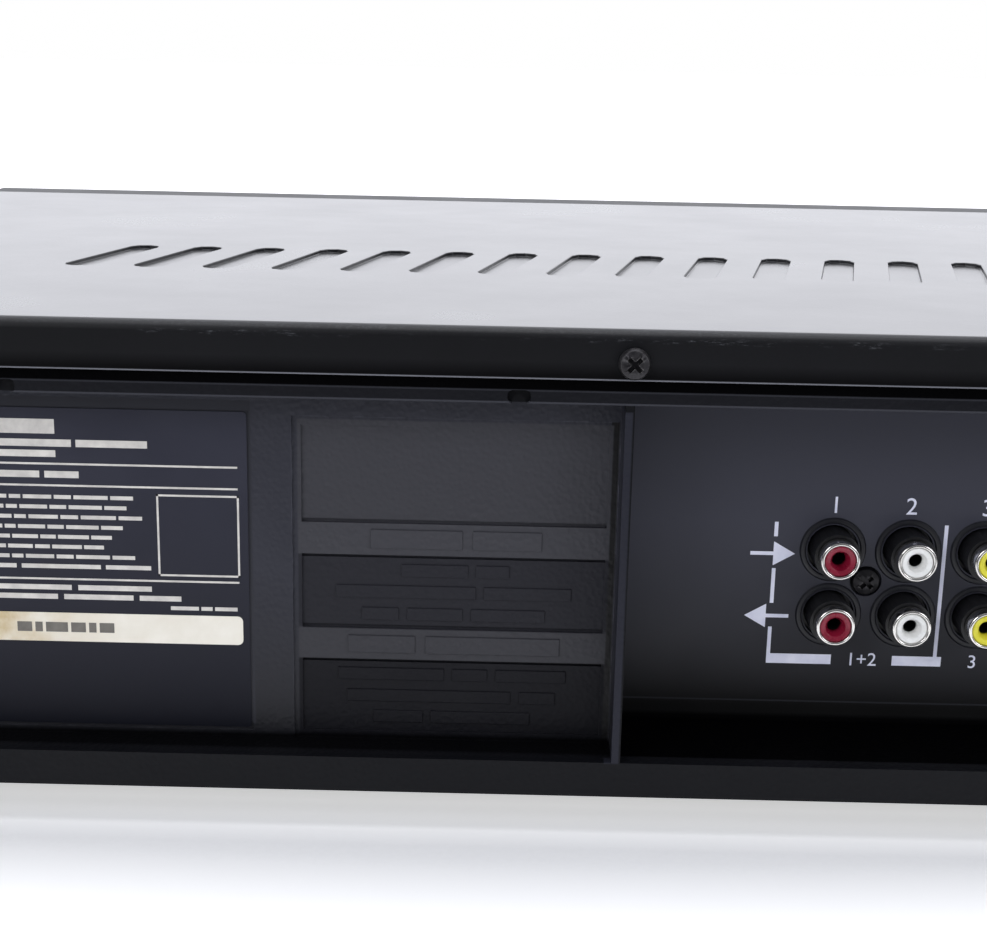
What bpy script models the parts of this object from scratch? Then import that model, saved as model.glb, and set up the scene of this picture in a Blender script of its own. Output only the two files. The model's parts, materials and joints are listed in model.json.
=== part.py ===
"""A front-loading videocassette recorder, modelled as the separate pieces it comes apart into.

Metres, +Z up. X is to the right of someone who faces the front panel, the front is at -Y and
the jacks are at +Y. The origin is on the ground, under the middle of the whole machine.
The cassette carriage is drawn in and still up, at the corner of its L-shaped path.
"""

import math

import bmesh
import bpy
from mathutils import Matrix, Vector

# Clearances
GAP = 0.0003
RUNNING_GAP = 0.0004
OVERRUN = 0.002

# Case, as measured on the photographed back
WIDTH = 0.380
BODY_HEIGHT = 0.0966
FOOT_HEIGHT = 0.008
FOOT_RADIUS = 0.011
WALL = 0.0025
RIM_SETBACK = 0.00115
LABEL_SETBACK = 0.0105
BAY_SETBACK = 0.0263
LIP_HEIGHT = 0.0075
RIM_DROP = 0.0146
RIB_WIDTH = 0.0018
RIB_X = -0.0148
BAY_END_MARGIN = 0.0213
LABEL_END_MARGIN = 0.0137
SIDE_WALL_HEIGHT = 0.050
SKIRT_GAP_HEIGHT = 0.006
FLOOR_THICKNESS = 0.003
FLOOR_STRIP = 0.030
PLATE_LAP = 0.006

# Top cover, folded sheet steel
COVER_SHEET = 0.0008
COVER_SIDE_RADIUS = 0.003
COVER_BACK_RADIUS = 0.0018
FLANGE_HEIGHT = 0.0096
BEAD_COUNT = 14
BEAD_PITCH = 0.0164
BEAD_WIDTH = 0.0082
BEAD_LENGTH = 0.044
BEAD_DEPTH = 0.0009
BEAD_SLANT = 0.0075
BEAD_SETBACK = 0.100

# Bottom plate
BOTTOM_SHEET = 0.001
VENT_WIDTH = 0.003
VENT_LENGTH = 0.026
VENT_PITCH = 0.010
VENT_COUNT = 9
VENT_ROW_SPACING = 0.060

# Screws
SCREW_HEAD_RADIUS = 0.0031
SCREW_HEAD_HEIGHT = 0.002
SCREW_SHANK_RADIUS = 0.0014
SCREW_LENGTH = 0.006
SCREW_CROSS = 0.0034
SCREW_CROSS_WIDTH = 0.0009
COVER_SCREW_X = -0.016
COVER_SCREW_DROP = 0.0061

# Front panel
PANEL_DEPTH = 0.018
PANEL_WALL = 0.003
PANEL_RADIUS = 0.003
PANEL_GROOVE = 0.0012
SLOT_SIDE_CLEARANCE = 0.006
SLOT_SILL = 0.049
DOOR_HEIGHT = 0.0325
DOOR_THICKNESS = 0.002
DOOR_INSET = 0.0006
DOOR_AXIS_SETBACK = 0.004
DOOR_BARREL_RADIUS = 0.002
DOOR_PIN_RADIUS = 0.0012
DOOR_PIN_LENGTH = 0.003
DOOR_CLEARANCE = 0.001
EAR_WIDTH = 0.004
EAR_RADIUS = 0.0045

# Display
WINDOW_WIDTH = 0.142
WINDOW_HEIGHT = 0.024
WINDOW_THICKNESS = 0.0018
WINDOW_LEDGE = 0.0015
TUBE_WIDTH = 0.124
TUBE_HEIGHT = 0.018
TUBE_DEPTH = 0.006

# Keys
KEY_PROUD = 0.0012
KEY_TRAVEL = 0.0012
KEY_GAP = 0.0004
KEY_FLANGE = 0.001
KEY_FLANGE_THICKNESS = 0.0012
KEY_STEM_RADIUS = 0.0018
KEY_CORNER = 0.0012
KEY_HEIGHT = 0.0085
KEY_ROW_MARGIN = 0.0088
KEY_END_MARGIN = 0.0173
KEY_SPACING = 0.0032
TALL_KEY_HEIGHT = 0.012
SWITCH_SIDE = 0.006
SWITCH_HEIGHT = 0.003

# Front board
FRONT_BOARD_SETBACK = 0.0132
BOARD_THICKNESS = 0.0016

# Phono jacks
SHELL_RADIUS = 0.00415
SHELL_WALL = 0.00085
SHELL_REACH = 0.00875
SHELL_LIP = 0.0005
SHELL_TIP = 0.003
SHELL_NECK = 0.0003
BARREL_WALL = 0.0007
CORE_HOLE_RADIUS = 0.0016
CORE_FUNNEL = 0.0013
CORE_HOLE_DEPTH = 0.0085
CORE_INSET = 0.0004
JACK_HOLE_RADIUS = 0.0055
JACK_COLLAR = 0.0012
JACK_COLLAR_HEIGHT = 0.0004
JACK_PITCH_X = 0.0160
JACK_PITCH_Z = 0.0145
FIRST_JACK_INSET = 0.048
UPPER_JACK_HEIGHT = 0.0464
JACK_COLUMNS = 3
JACK_BLOCK_DEPTH = 0.0153
JACK_BLOCK_MARGIN = 0.008
JACK_SCREW_X = -0.0695
JACK_SCREW_HEIGHT = 0.0395
JACK_SCREW_SINK = 0.0012

# Front jacks
FRONT_POCKET_DEPTH = 0.008
FRONT_POCKET_HEIGHT = 0.022
FRONT_JACK_REACH = 0.0068

# Tuner
TUNER_DEPTH = 0.052
TUNER_HEIGHT = 0.044
TUNER_SHELL = 0.0012
SOCKET_RADIUS = 0.0047
SOCKET_REACH = 0.010
SOCKET_BORE = 0.0018
SWITCH_KNOB_WIDTH = 0.003
SWITCH_KNOB_HEIGHT = 0.0036
SWITCH_KNOB_REACH = 0.003
SWITCH_TRAVEL = 0.003

# Cord gland, with a slot for a flat two-core cord
GLAND_RADIUS = 0.0058
GLAND_FLANGE = 0.0018
GLAND_FLANGE_THICKNESS = 0.002
GLAND_REACH = 0.006
GLAND_SLOT_WIDTH = 0.006
GLAND_SLOT_HEIGHT = 0.0032
GLAND_HEIGHT = 0.020
GLAND_END_MARGIN = 0.014

# Label and moulded panel on the back
LABEL_GLAND_CLEARANCE = 0.0237
LABEL_HEIGHT = 0.0685
LABEL_RECESS = 0.0004
LABEL_X = 0.0595
LABEL_LIFT = 0.0015
PLAQUE_WIDTH = 0.0655
PLAQUE_HEIGHT = 0.069
PLAQUE_STEP = 0.0005
PLAQUE_FRAME = 0.0018
PLAQUE_X = -0.0145
BAND_HEIGHT = 0.0074
BAND_GROOVE = 0.0007
UPPER_BAND_HEIGHT = 0.0474
LOWER_BAND_HEIGHT = 0.0248
NOTCH_WIDTH = 0.0045
NOTCH_HEIGHT = 0.0026
NOTCH_DEPTH = 0.0015
NOTCH_PITCH = 0.0995
NOTCH_X = 0.0058

# Main board and what stands on it
BOARD_LIFT = 0.0033
BOSS_RADIUS = 0.0035
TRANSFORMER_DEPTH = 0.044
TRANSFORMER_HEIGHT = 0.040
TRANSFORMER_COIL_PROUD = 0.005
HEAT_SINK_HEIGHT = 0.030
HEAT_SINK_BASE = 0.003
HEAT_SINK_FIN = 0.0012
HEAT_SINK_FIN_REACH = 0.012
HEAT_SINK_FINS = 6

# Tape deck
DECK_HEIGHT = 0.022
DECK_SHEET = 0.0015
DECK_SIDE_MARGIN = 0.0086
DECK_MARGIN = 0.004
DECK_CLEARANCE = 0.002
SPINDLE_RADIUS = 0.002
REEL_SPACING = 0.092
REEL_TO_MOUTH = 0.059
REEL_RADIUS = 0.026
REEL_THICKNESS = 0.0033
REEL_HUB_RADIUS = 0.0055
REEL_HUB_HEIGHT = 0.011
REEL_SPLINE = 0.0022
REEL_SPLINES = 3
IDLER_RADIUS = 0.016
IDLER_THICKNESS = 0.003
IDLER_ARM_LENGTH = 0.032
IDLER_ARM_WIDTH = 0.008
IDLER_ARM_THICKNESS = 0.0016
DRUM_RADIUS = 0.031
DRUM_SETBACK = 0.042
DRUM_TILT = math.radians(5)
DRUM_HALF_HEIGHT = 0.017
DRUM_SLIT = 0.0006
DRUM_SHAFT_RADIUS = 0.004
DRUM_FOOT_HEIGHT = 0.0045
HEAD_NOTCH_WIDTH = 0.004
HEAD_NOTCH_DEPTH = 0.0012
HEAD_NOTCHES = 4

# Capstan and pinch roller
CAPSTAN_X = 0.058
CAPSTAN_SETBACK = 0.0135
CAPSTAN_RADIUS = 0.002
CAPSTAN_HEIGHT = 0.032
FLYWHEEL_RADIUS = 0.024
FLYWHEEL_THICKNESS = 0.007
STATOR_SIDE = 0.050
STATOR_THICKNESS = 0.002
BEARING_RADIUS = 0.0046
BEARING_HEIGHT = 0.0045
PINCH_PIVOT_X = 0.084
PINCH_PIVOT_SETBACK = 0.0385
PINCH_ARM_LENGTH = 0.031
PINCH_ARM_WIDTH = 0.009
PINCH_ARM_THICKNESS = 0.002
PINCH_REST = math.radians(276)
PINCH_RADIUS = 0.0065
PINCH_HEIGHT = 0.017
PINCH_SPINDLE_RADIUS = 0.0015

# Loading gear train and tape guides
GEAR_MODULE = 0.0009
GEAR_THICKNESS = 0.0045
CAM_TEETH = 44
PINION_TEETH = 11
CAM_X = -0.078
LOADING_MOTOR_RADIUS = 0.0105
LOADING_MOTOR_HEIGHT = 0.022
MOTOR_SHAFT_RADIUS = 0.0011
GUIDE_START_X = 0.038
GUIDE_END_X = 0.047
GUIDE_START_INSET = 0.009
GUIDE_END_SETBACK = 0.015
GUIDE_BASE_RADIUS = 0.0065
GUIDE_BASE_HEIGHT = 0.005
GUIDE_ROLLER_RADIUS = 0.0032
GUIDE_HEIGHT = 0.024
GUIDE_TONGUE_RADIUS = 0.0022
HEAD_BLOCK_X = 0.062
HEAD_BLOCK_WIDTH = 0.010
HEAD_BLOCK_DEPTH = 0.016
HEAD_BLOCK_HEIGHT = 0.028
HEAD_BLOCK_FOOT = 0.003

# Cassette carriage
CASSETTE_WIDTH = 0.188
CASSETTE_HEIGHT = 0.025
CASSETTE_CLEARANCE = 0.001
CARRIAGE_TRAVEL = 0.060
CARRIAGE_DROP = 0.018
CARRIAGE_SHEET = 0.0012
HOLDER_DEPTH = 0.068
HOLDER_LEDGE = 0.007
BRACKET_CLEARANCE = 0.0064
BRACKET_FLANGE = 0.006
BRACKET_HEIGHT = 0.058
BRACKET_MARGIN = 0.008
PIN_RADIUS = 0.0018
PIN_SLOT_GAP = 0.0004
PIN_INSET = 0.010
PIN_PITCH = 0.048
PIN_HEIGHT = 0.0175
SLIDER_GAP = 0.0005
SLIDER_DEPTH = 0.076
SLIDER_HEAD = 0.012
SLIDER_FOOT = 0.0075
RACK_MODULE = 0.0008
CARRIAGE_GEAR_TEETH = 14
CARRIAGE_GEAR_THICKNESS = 0.003
RACK_END = 0.002

# Places that follow from the sizes above
HALF_WIDTH = WIDTH / 2
FLOOR_Z = FOOT_HEIGHT
TOP_Z = FLOOR_Z + BODY_HEIGHT
DECK_DEPTH = CARRIAGE_TRAVEL + HOLDER_DEPTH + DRUM_SETBACK + DRUM_RADIUS + DECK_MARGIN
DECK_FRONT_SETBACK = DOOR_AXIS_SETBACK + DOOR_HEIGHT + DOOR_CLEARANCE
BODY_DEPTH = (
    DECK_FRONT_SETBACK + DECK_DEPTH + DECK_CLEARANCE + JACK_BLOCK_DEPTH + GAP + WALL + BAY_SETBACK
)
FRONT_Y = KEY_PROUD - (BODY_DEPTH + KEY_PROUD + SCREW_HEAD_HEIGHT) / 2
REAR_Y = FRONT_Y + BODY_DEPTH
PANEL_BACK_Y = FRONT_Y + PANEL_DEPTH
CHASSIS_FRONT_Y = PANEL_BACK_Y + GAP
RIM_Y = REAR_Y - RIM_SETBACK
LABEL_Y = REAR_Y - LABEL_SETBACK
BAY_Y = REAR_Y - BAY_SETBACK
BAY_BACK_Y = BAY_Y - WALL
CHASSIS_HALF = HALF_WIDTH - COVER_SHEET - GAP
INNER_HALF = CHASSIS_HALF - WALL
PLATE_HALF = CHASSIS_HALF - FLOOR_STRIP + PLATE_LAP
LIP_Z = FLOOR_Z + LIP_HEIGHT
RIM_Z = TOP_Z - RIM_DROP
FLOOR_TOP_Z = FLOOR_Z + FLOOR_THICKNESS
BAY_X = RIB_X - RIB_WIDTH
BAY_END_X = -CHASSIS_HALF + BAY_END_MARGIN
LABEL_END_X = CHASSIS_HALF - LABEL_END_MARGIN
LABEL_WIDTH = LABEL_END_X - GLAND_END_MARGIN - LABEL_GLAND_CLEARANCE - LABEL_X
DECK_FRONT_Y = FRONT_Y + DECK_FRONT_SETBACK
DECK_BACK_Y = DECK_FRONT_Y + DECK_DEPTH
DECK_Z = FLOOR_Z + DECK_HEIGHT
DECK_TOP_Z = DECK_Z + DECK_SHEET
ON_DECK_Z = DECK_TOP_Z + GAP
BOARD_Z = FLOOR_TOP_Z + BOARD_LIFT
BOARD_TOP_Z = BOARD_Z + BOARD_THICKNESS
ON_BOARD_Z = BOARD_TOP_Z + GAP
STRIP_FRONT_Y = CHASSIS_FRONT_Y + FLOOR_STRIP
STRIP_BACK_Y = BAY_BACK_Y - FLOOR_STRIP + WALL
SLOT_Z = FLOOR_Z + SLOT_SILL
DOOR_AXIS_Y = FRONT_Y + DOOR_AXIS_SETBACK
DOOR_AXIS_Z = SLOT_Z + DOOR_HEIGHT
SLOT_TOP_Z = DOOR_AXIS_Z + DOOR_BARREL_RADIUS + GAP
BOARD_FACE_Y = FRONT_Y + FRONT_BOARD_SETBACK
HOLDER_FRONT_Y = DECK_FRONT_Y + CARRIAGE_TRAVEL
MOUTH_Y = HOLDER_FRONT_Y + HOLDER_DEPTH
HOLDER_HALF = CASSETTE_WIDTH / 2 + CASSETTE_CLEARANCE
SLOT_WIDTH = CASSETTE_WIDTH + SLOT_SIDE_CLEARANCE * 2
BRACKET_FACE_X = HOLDER_HALF + BRACKET_CLEARANCE
DECK_HALF_WIDTH = BRACKET_FACE_X + DECK_SIDE_MARGIN
FIRST_JACK_X = -DECK_HALF_WIDTH + FIRST_JACK_INSET
HOLDER_Z = SLOT_Z + CASSETTE_CLEARANCE + CARRIAGE_SHEET
HOLDER_TOP_Z = HOLDER_Z + CASSETTE_HEIGHT + CASSETTE_CLEARANCE
REEL_Y = MOUTH_Y - REEL_TO_MOUTH
DRUM_Y = MOUTH_Y + DRUM_SETBACK
CAPSTAN_Y = MOUTH_Y + CAPSTAN_SETBACK
PINCH_PIVOT_Y = MOUTH_Y + PINCH_PIVOT_SETBACK
IDLER_PIVOT_Y = REEL_Y - IDLER_ARM_LENGTH
PIN_Z = HOLDER_Z + PIN_HEIGHT
FRONT_PIN_Y = HOLDER_FRONT_Y + PIN_INSET
PIN_YS = (FRONT_PIN_Y, FRONT_PIN_Y + PIN_PITCH)

# Places of the keys: the side, how many would fill the row, which one of them it is, counted from
# the slot outwards, and its height as a share of the body's
KEY_PLACES = {
    "power_button": (-1, 2, 1, 0.75),
    "eject_button": (-1, 3, 0, 0.75),
    "play_button": (1, 2, 0, 0.75),
    "stop_button": (1, 2, 1, 0.75),
    "rewind_button": (1, 3, 0, 0.56),
    "record_button": (1, 3, 1, 0.56),
    "fast_forward_button": (1, 3, 2, 0.56),
    "channel_down_button": (1, 3, 0, 0.24),
    "channel_up_button": (1, 3, 2, 0.24),
}
TALL_KEYS = ("power_button", "eject_button", "play_button", "stop_button")
WINDOW_PLACE_SHARE = 0.26

# A gear tooth, as shares of the pitch along it and of the module above the pitch line
TOOTH_SHARES = (
    (-0.29, -1.15),
    (-0.19, 0.0),
    (-0.10, 0.9),
    (0.10, 0.9),
    (0.19, 0.0),
    (0.29, -1.15),
)
FRONT_JACK_HEIGHT_SHARE = 0.27
TRANSFORMER_DEPTH_SHARE = 0.30
HEAT_SINK_DEPTH_SHARE = -0.30

# Sizes across that follow from the room beside the deck and beside the slot
FRONT_JACK_PITCH_SHARE = 0.31
FRONT_JACK_MARGIN_SHARE = 0.15
TUNER_WIDTH_SHARE = 0.56
SWITCH_OFFSET_SHARE = 0.405
TRANSFORMER_WIDTH_SHARE = 0.70
TRANSFORMER_WINDOW_SHARE = 0.19
HEAT_SINK_WIDTH_SHARE = 0.59
SIDE_ROOM = INNER_HALF - DECK_HALF_WIDTH - DECK_CLEARANCE
SIDE_ROOM_X = DECK_HALF_WIDTH + DECK_CLEARANCE + SIDE_ROOM / 2
TUNER_WIDTH = SIDE_ROOM * TUNER_WIDTH_SHARE
SWITCH_OFFSET = TUNER_WIDTH * SWITCH_OFFSET_SHARE
TRANSFORMER_WIDTH = SIDE_ROOM * TRANSFORMER_WIDTH_SHARE
TRANSFORMER_WINDOW = TRANSFORMER_WIDTH * TRANSFORMER_WINDOW_SHARE
HEAT_SINK_WIDTH = SIDE_ROOM * HEAT_SINK_WIDTH_SHARE
KEY_ROW_X = SLOT_WIDTH / 2 + KEY_ROW_MARGIN
KEY_ROW_LENGTH = HALF_WIDTH - KEY_END_MARGIN - KEY_ROW_X
FRONT_JACK_PITCH = KEY_ROW_LENGTH * FRONT_JACK_PITCH_SHARE
FRONT_JACK_MARGIN = KEY_ROW_LENGTH * FRONT_JACK_MARGIN_SHARE

# The two windows in the cassette holder's top
HOLDER_WINDOW_WIDTH_SHARE = 0.7
HOLDER_WINDOW_DEPTH_SHARE = 0.5
HOLDER_WINDOW_CORNER = 0.0036

# A screw head's outline, as shares of its radius and of its height
SCREW_HEAD_SHARES = ((0.0, 1.0), (0.55, 0.94), (0.88, 0.7), (1.0, 0.3), (1.0, 0.0))
SCREW_CROSS_FLOOR_SHARE = 0.3

FINE, MEDIUM, COARSE = 48, 24, 14


def finish(name, colour, roughness, metallic=0.0):
    """A plain material with one colour, roughness and metallic value."""
    material = bpy.data.materials.new(name)
    material.use_nodes = True
    shader = material.node_tree.nodes["Principled BSDF"]
    shader.inputs["Base Color"].default_value = (*colour, 1.0)
    shader.inputs["Roughness"].default_value = roughness
    shader.inputs["Metallic"].default_value = metallic
    material.diffuse_color = (*colour, 1.0)
    return material


def clear_scene():
    for item in list(bpy.data.objects):
        bpy.data.objects.remove(item)


def object_from(work, name="piece"):
    """Turn a bmesh into an object, with its faces pointing out and its round parts smooth."""
    bmesh.ops.recalc_face_normals(work, faces=work.faces)
    mesh = bpy.data.meshes.new(name)
    work.to_mesh(mesh)
    work.free()
    mesh.shade_smooth()
    mesh.set_sharp_from_angle(angle=math.radians(35))
    made = bpy.data.objects.new(name, mesh)
    bpy.context.scene.collection.objects.link(made)
    return made


def block(x, y, z, radius=0.0, rounded=None, steps=3):
    """A box between pairs of bounds, with the edges that rounded(middle, direction) picks made round."""
    work = bmesh.new()
    bmesh.ops.create_cube(work, size=1.0)
    size = Vector((x[1] - x[0], y[1] - y[0], z[1] - z[0]))
    middle = Vector((x[0] + x[1], y[0] + y[1], z[0] + z[1])) / 2
    bmesh.ops.scale(work, vec=size, verts=work.verts)
    if radius:
        chosen = []
        for edge in work.edges:
            centre = (edge.verts[0].co + edge.verts[1].co) / 2
            along = (edge.verts[1].co - edge.verts[0].co).normalized()
            if rounded is None or rounded(centre, along):
                chosen.append(edge)
        bmesh.ops.bevel(
            work, geom=chosen, offset=radius, segments=steps, profile=0.5, affect="EDGES"
        )
    bmesh.ops.translate(work, vec=middle, verts=work.verts)
    return object_from(work)


def on_plane(axis, across, up, along):
    """A point from its two coordinates on the plane square to an axis, and its place along it."""
    if axis == "X":
        return Vector((along, across, up))
    if axis == "Y":
        return Vector((across, along, up))
    return Vector((across, up, along))


def prism(axis, outlines, low, high):
    """Closed outlines extruded along an axis. Several outlines make one cutter with several bodies."""
    work = bmesh.new()
    for outline in outlines:
        points = [work.verts.new(on_plane(axis, a, b, low)) for a, b in outline]
        face = work.faces.new(points)
        grown = bmesh.ops.extrude_face_region(work, geom=[face])
        moved = [item for item in grown["geom"] if isinstance(item, bmesh.types.BMVert)]
        bmesh.ops.translate(work, vec=on_plane(axis, 0, 0, high - low), verts=moved)
    return object_from(work)


def turned(profile, at, segments, axis=(0, 0, 1)):
    """A profile of (radius, height) points turned about an axis through a point."""
    work = bmesh.new()
    points = [work.verts.new((radius, 0, height)) for radius, height in profile]
    pairs = list(zip(points, points[1:]))
    if profile[0][0] > 0:
        pairs.append((points[-1], points[0]))
    edges = [work.edges.new(pair) for pair in pairs]
    bmesh.ops.spin(
        work, geom=points + edges, cent=(0, 0, 0), axis=(0, 0, 1), angle=math.tau, steps=segments
    )
    bmesh.ops.remove_doubles(work, verts=work.verts, dist=GAP / 1000)
    turn = Vector((0, 0, 1)).rotation_difference(Vector(axis)).to_matrix().to_4x4()
    bmesh.ops.transform(work, matrix=Matrix.Translation(Vector(at)) @ turn, verts=work.verts)
    return object_from(work)


def rod(at, radius, length, segments=MEDIUM, axis=(0, 0, 1)):
    """A plain round bar that starts at a point and runs along an axis."""
    return turned([(0, 0), (radius, 0), (radius, length), (0, length)], at, segments, axis)


def tube(at, outer, inner, length, segments=MEDIUM, axis=(0, 0, 1)):
    """A round bar with a hole right through it."""
    return turned(
        [(inner, 0), (outer, 0), (outer, length), (inner, length)], at, segments, axis
    )


def arc(centre, radius, start, end, steps):
    """Points on an arc, from one angle to another."""
    angles = [start + (end - start) * step / steps for step in range(steps + 1)]
    return [
        (centre[0] + radius * math.cos(angle), centre[1] + radius * math.sin(angle))
        for angle in angles
    ]


def circle(centre, radius, steps):
    return arc(centre, radius, 0, math.tau, steps)[:-1]


def rounded_box(centre, width, height, radius, steps=2):
    """The outline of a rectangle with round corners."""
    points = []
    for turn, (side, level) in enumerate(((1, 1), (-1, 1), (-1, -1), (1, -1))):
        corner = (
            centre[0] + side * (width / 2 - radius),
            centre[1] + level * (height / 2 - radius),
        )
        start = turn * math.pi / 2
        points += arc(corner, radius, start, start + math.pi / 2, steps)
    return points


def slot_outline(first, last, radius, steps=5):
    """The outline of a slot with round ends, from one centre to another."""
    heading = math.atan2(last[1] - first[1], last[0] - first[0])
    right = heading - math.pi / 2
    return arc(last, radius, right, right + math.pi, steps) + arc(
        first, radius, right + math.pi, right + math.tau, steps
    )


def gear_outline(teeth, module):
    """Straight-flanked teeth, cut a little thin so that they run with backlash."""
    pitch = teeth * module / 2
    points = []
    for tooth in range(teeth):
        middle = math.tau * tooth / teeth
        step = math.tau / teeth
        for share, height_share in TOOTH_SHARES:
            radius = pitch + height_share * module
            angle = middle + share * step
            points.append((radius * math.cos(angle), radius * math.sin(angle)))
    return points


def shifted(outline, centre, turn=0.0):
    """An outline turned about its middle and moved."""
    cosine, sine = math.cos(turn), math.sin(turn)
    return [
        (centre[0] + a * cosine - b * sine, centre[1] + a * sine + b * cosine)
        for a, b in outline
    ]


def combine(base, others, operation):
    """Boolean modifiers that add other shapes to a base, or cut them from it."""
    for other in others:
        other.hide_render = True
        other.display_type = "WIRE"
        modifier = base.modifiers.new(operation.lower(), "BOOLEAN")
        modifier.operation = operation
        modifier.object = other
    return base


def piece(name, base, material, add=(), cut=(), pivot=None):
    """Finish a named piece: shapes added, shapes cut, its material, and its origin on its joint."""
    base.name = name
    base.data.name = name
    combine(base, add, "UNION")
    combine(base, cut, "DIFFERENCE")
    base.data.materials.append(material)
    if pivot is not None:
        base.data.transform(Matrix.Translation(-Vector(pivot)))
        base.location = pivot
    for helper in (*add, *cut):
        helper.name = name + "_shape"
    return base


def front_key_places():
    """Each key's name with its middle and its size."""
    for name, (side, columns, column, up_share) in KEY_PLACES.items():
        width = (KEY_ROW_LENGTH - KEY_SPACING * (columns - 1)) / columns
        height = TALL_KEY_HEIGHT if name in TALL_KEYS else KEY_HEIGHT
        x = side * (KEY_ROW_X + width / 2 + column * (width + KEY_SPACING))
        yield name, x, FLOOR_Z + up_share * BODY_HEIGHT, width, height


def front_jack_xs():
    middle = -(KEY_ROW_X + KEY_ROW_LENGTH / 2)
    return [middle + step * FRONT_JACK_PITCH for step in (-1, 0, 1)]


def front_jack_z():
    return FLOOR_Z + FRONT_JACK_HEIGHT_SHARE * BODY_HEIGHT


def rear_jack_places():
    """The six phono jacks, as (name, x, z): three columns in two rows."""
    for row, level in enumerate(("in", "out")):
        for column, signal in enumerate(("right", "left", "video")[:JACK_COLUMNS]):
            x = FIRST_JACK_X - column * JACK_PITCH_X
            z = FLOOR_Z + UPPER_JACK_HEIGHT - row * JACK_PITCH_Z
            yield f"{signal}_{level}_jack_shell", x, z


def tuner_x():
    return -(DECK_HALF_WIDTH + DECK_CLEARANCE + TUNER_WIDTH / 2)


def antenna_places():
    """The two threaded antenna sockets, in line with the two rows of phono jacks."""
    for row in range(2):
        yield tuner_x() + SWITCH_OFFSET / 2, FLOOR_Z + UPPER_JACK_HEIGHT - row * JACK_PITCH_Z


def switch_place():
    return tuner_x() - SWITCH_OFFSET / 2, FLOOR_Z + UPPER_JACK_HEIGHT - JACK_PITCH_Z / 2


def deck_post_places():
    inset = DECK_MARGIN * 2
    for x in (-DECK_HALF_WIDTH + inset, DECK_HALF_WIDTH - inset):
        for y in (DECK_FRONT_Y + DECK_MARGIN, DECK_BACK_Y - DECK_MARGIN):
            yield x, y


def board_boss_places():
    for x in (-1, 1):
        for y in (-1, 0, 1):
            middle = (STRIP_FRONT_Y + STRIP_BACK_Y) / 2
            reach = (STRIP_BACK_Y - STRIP_FRONT_Y) / 2 - BOSS_RADIUS * 2
            yield x * (CHASSIS_HALF - FLOOR_STRIP + BOSS_RADIUS * 2), middle + y * reach


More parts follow.
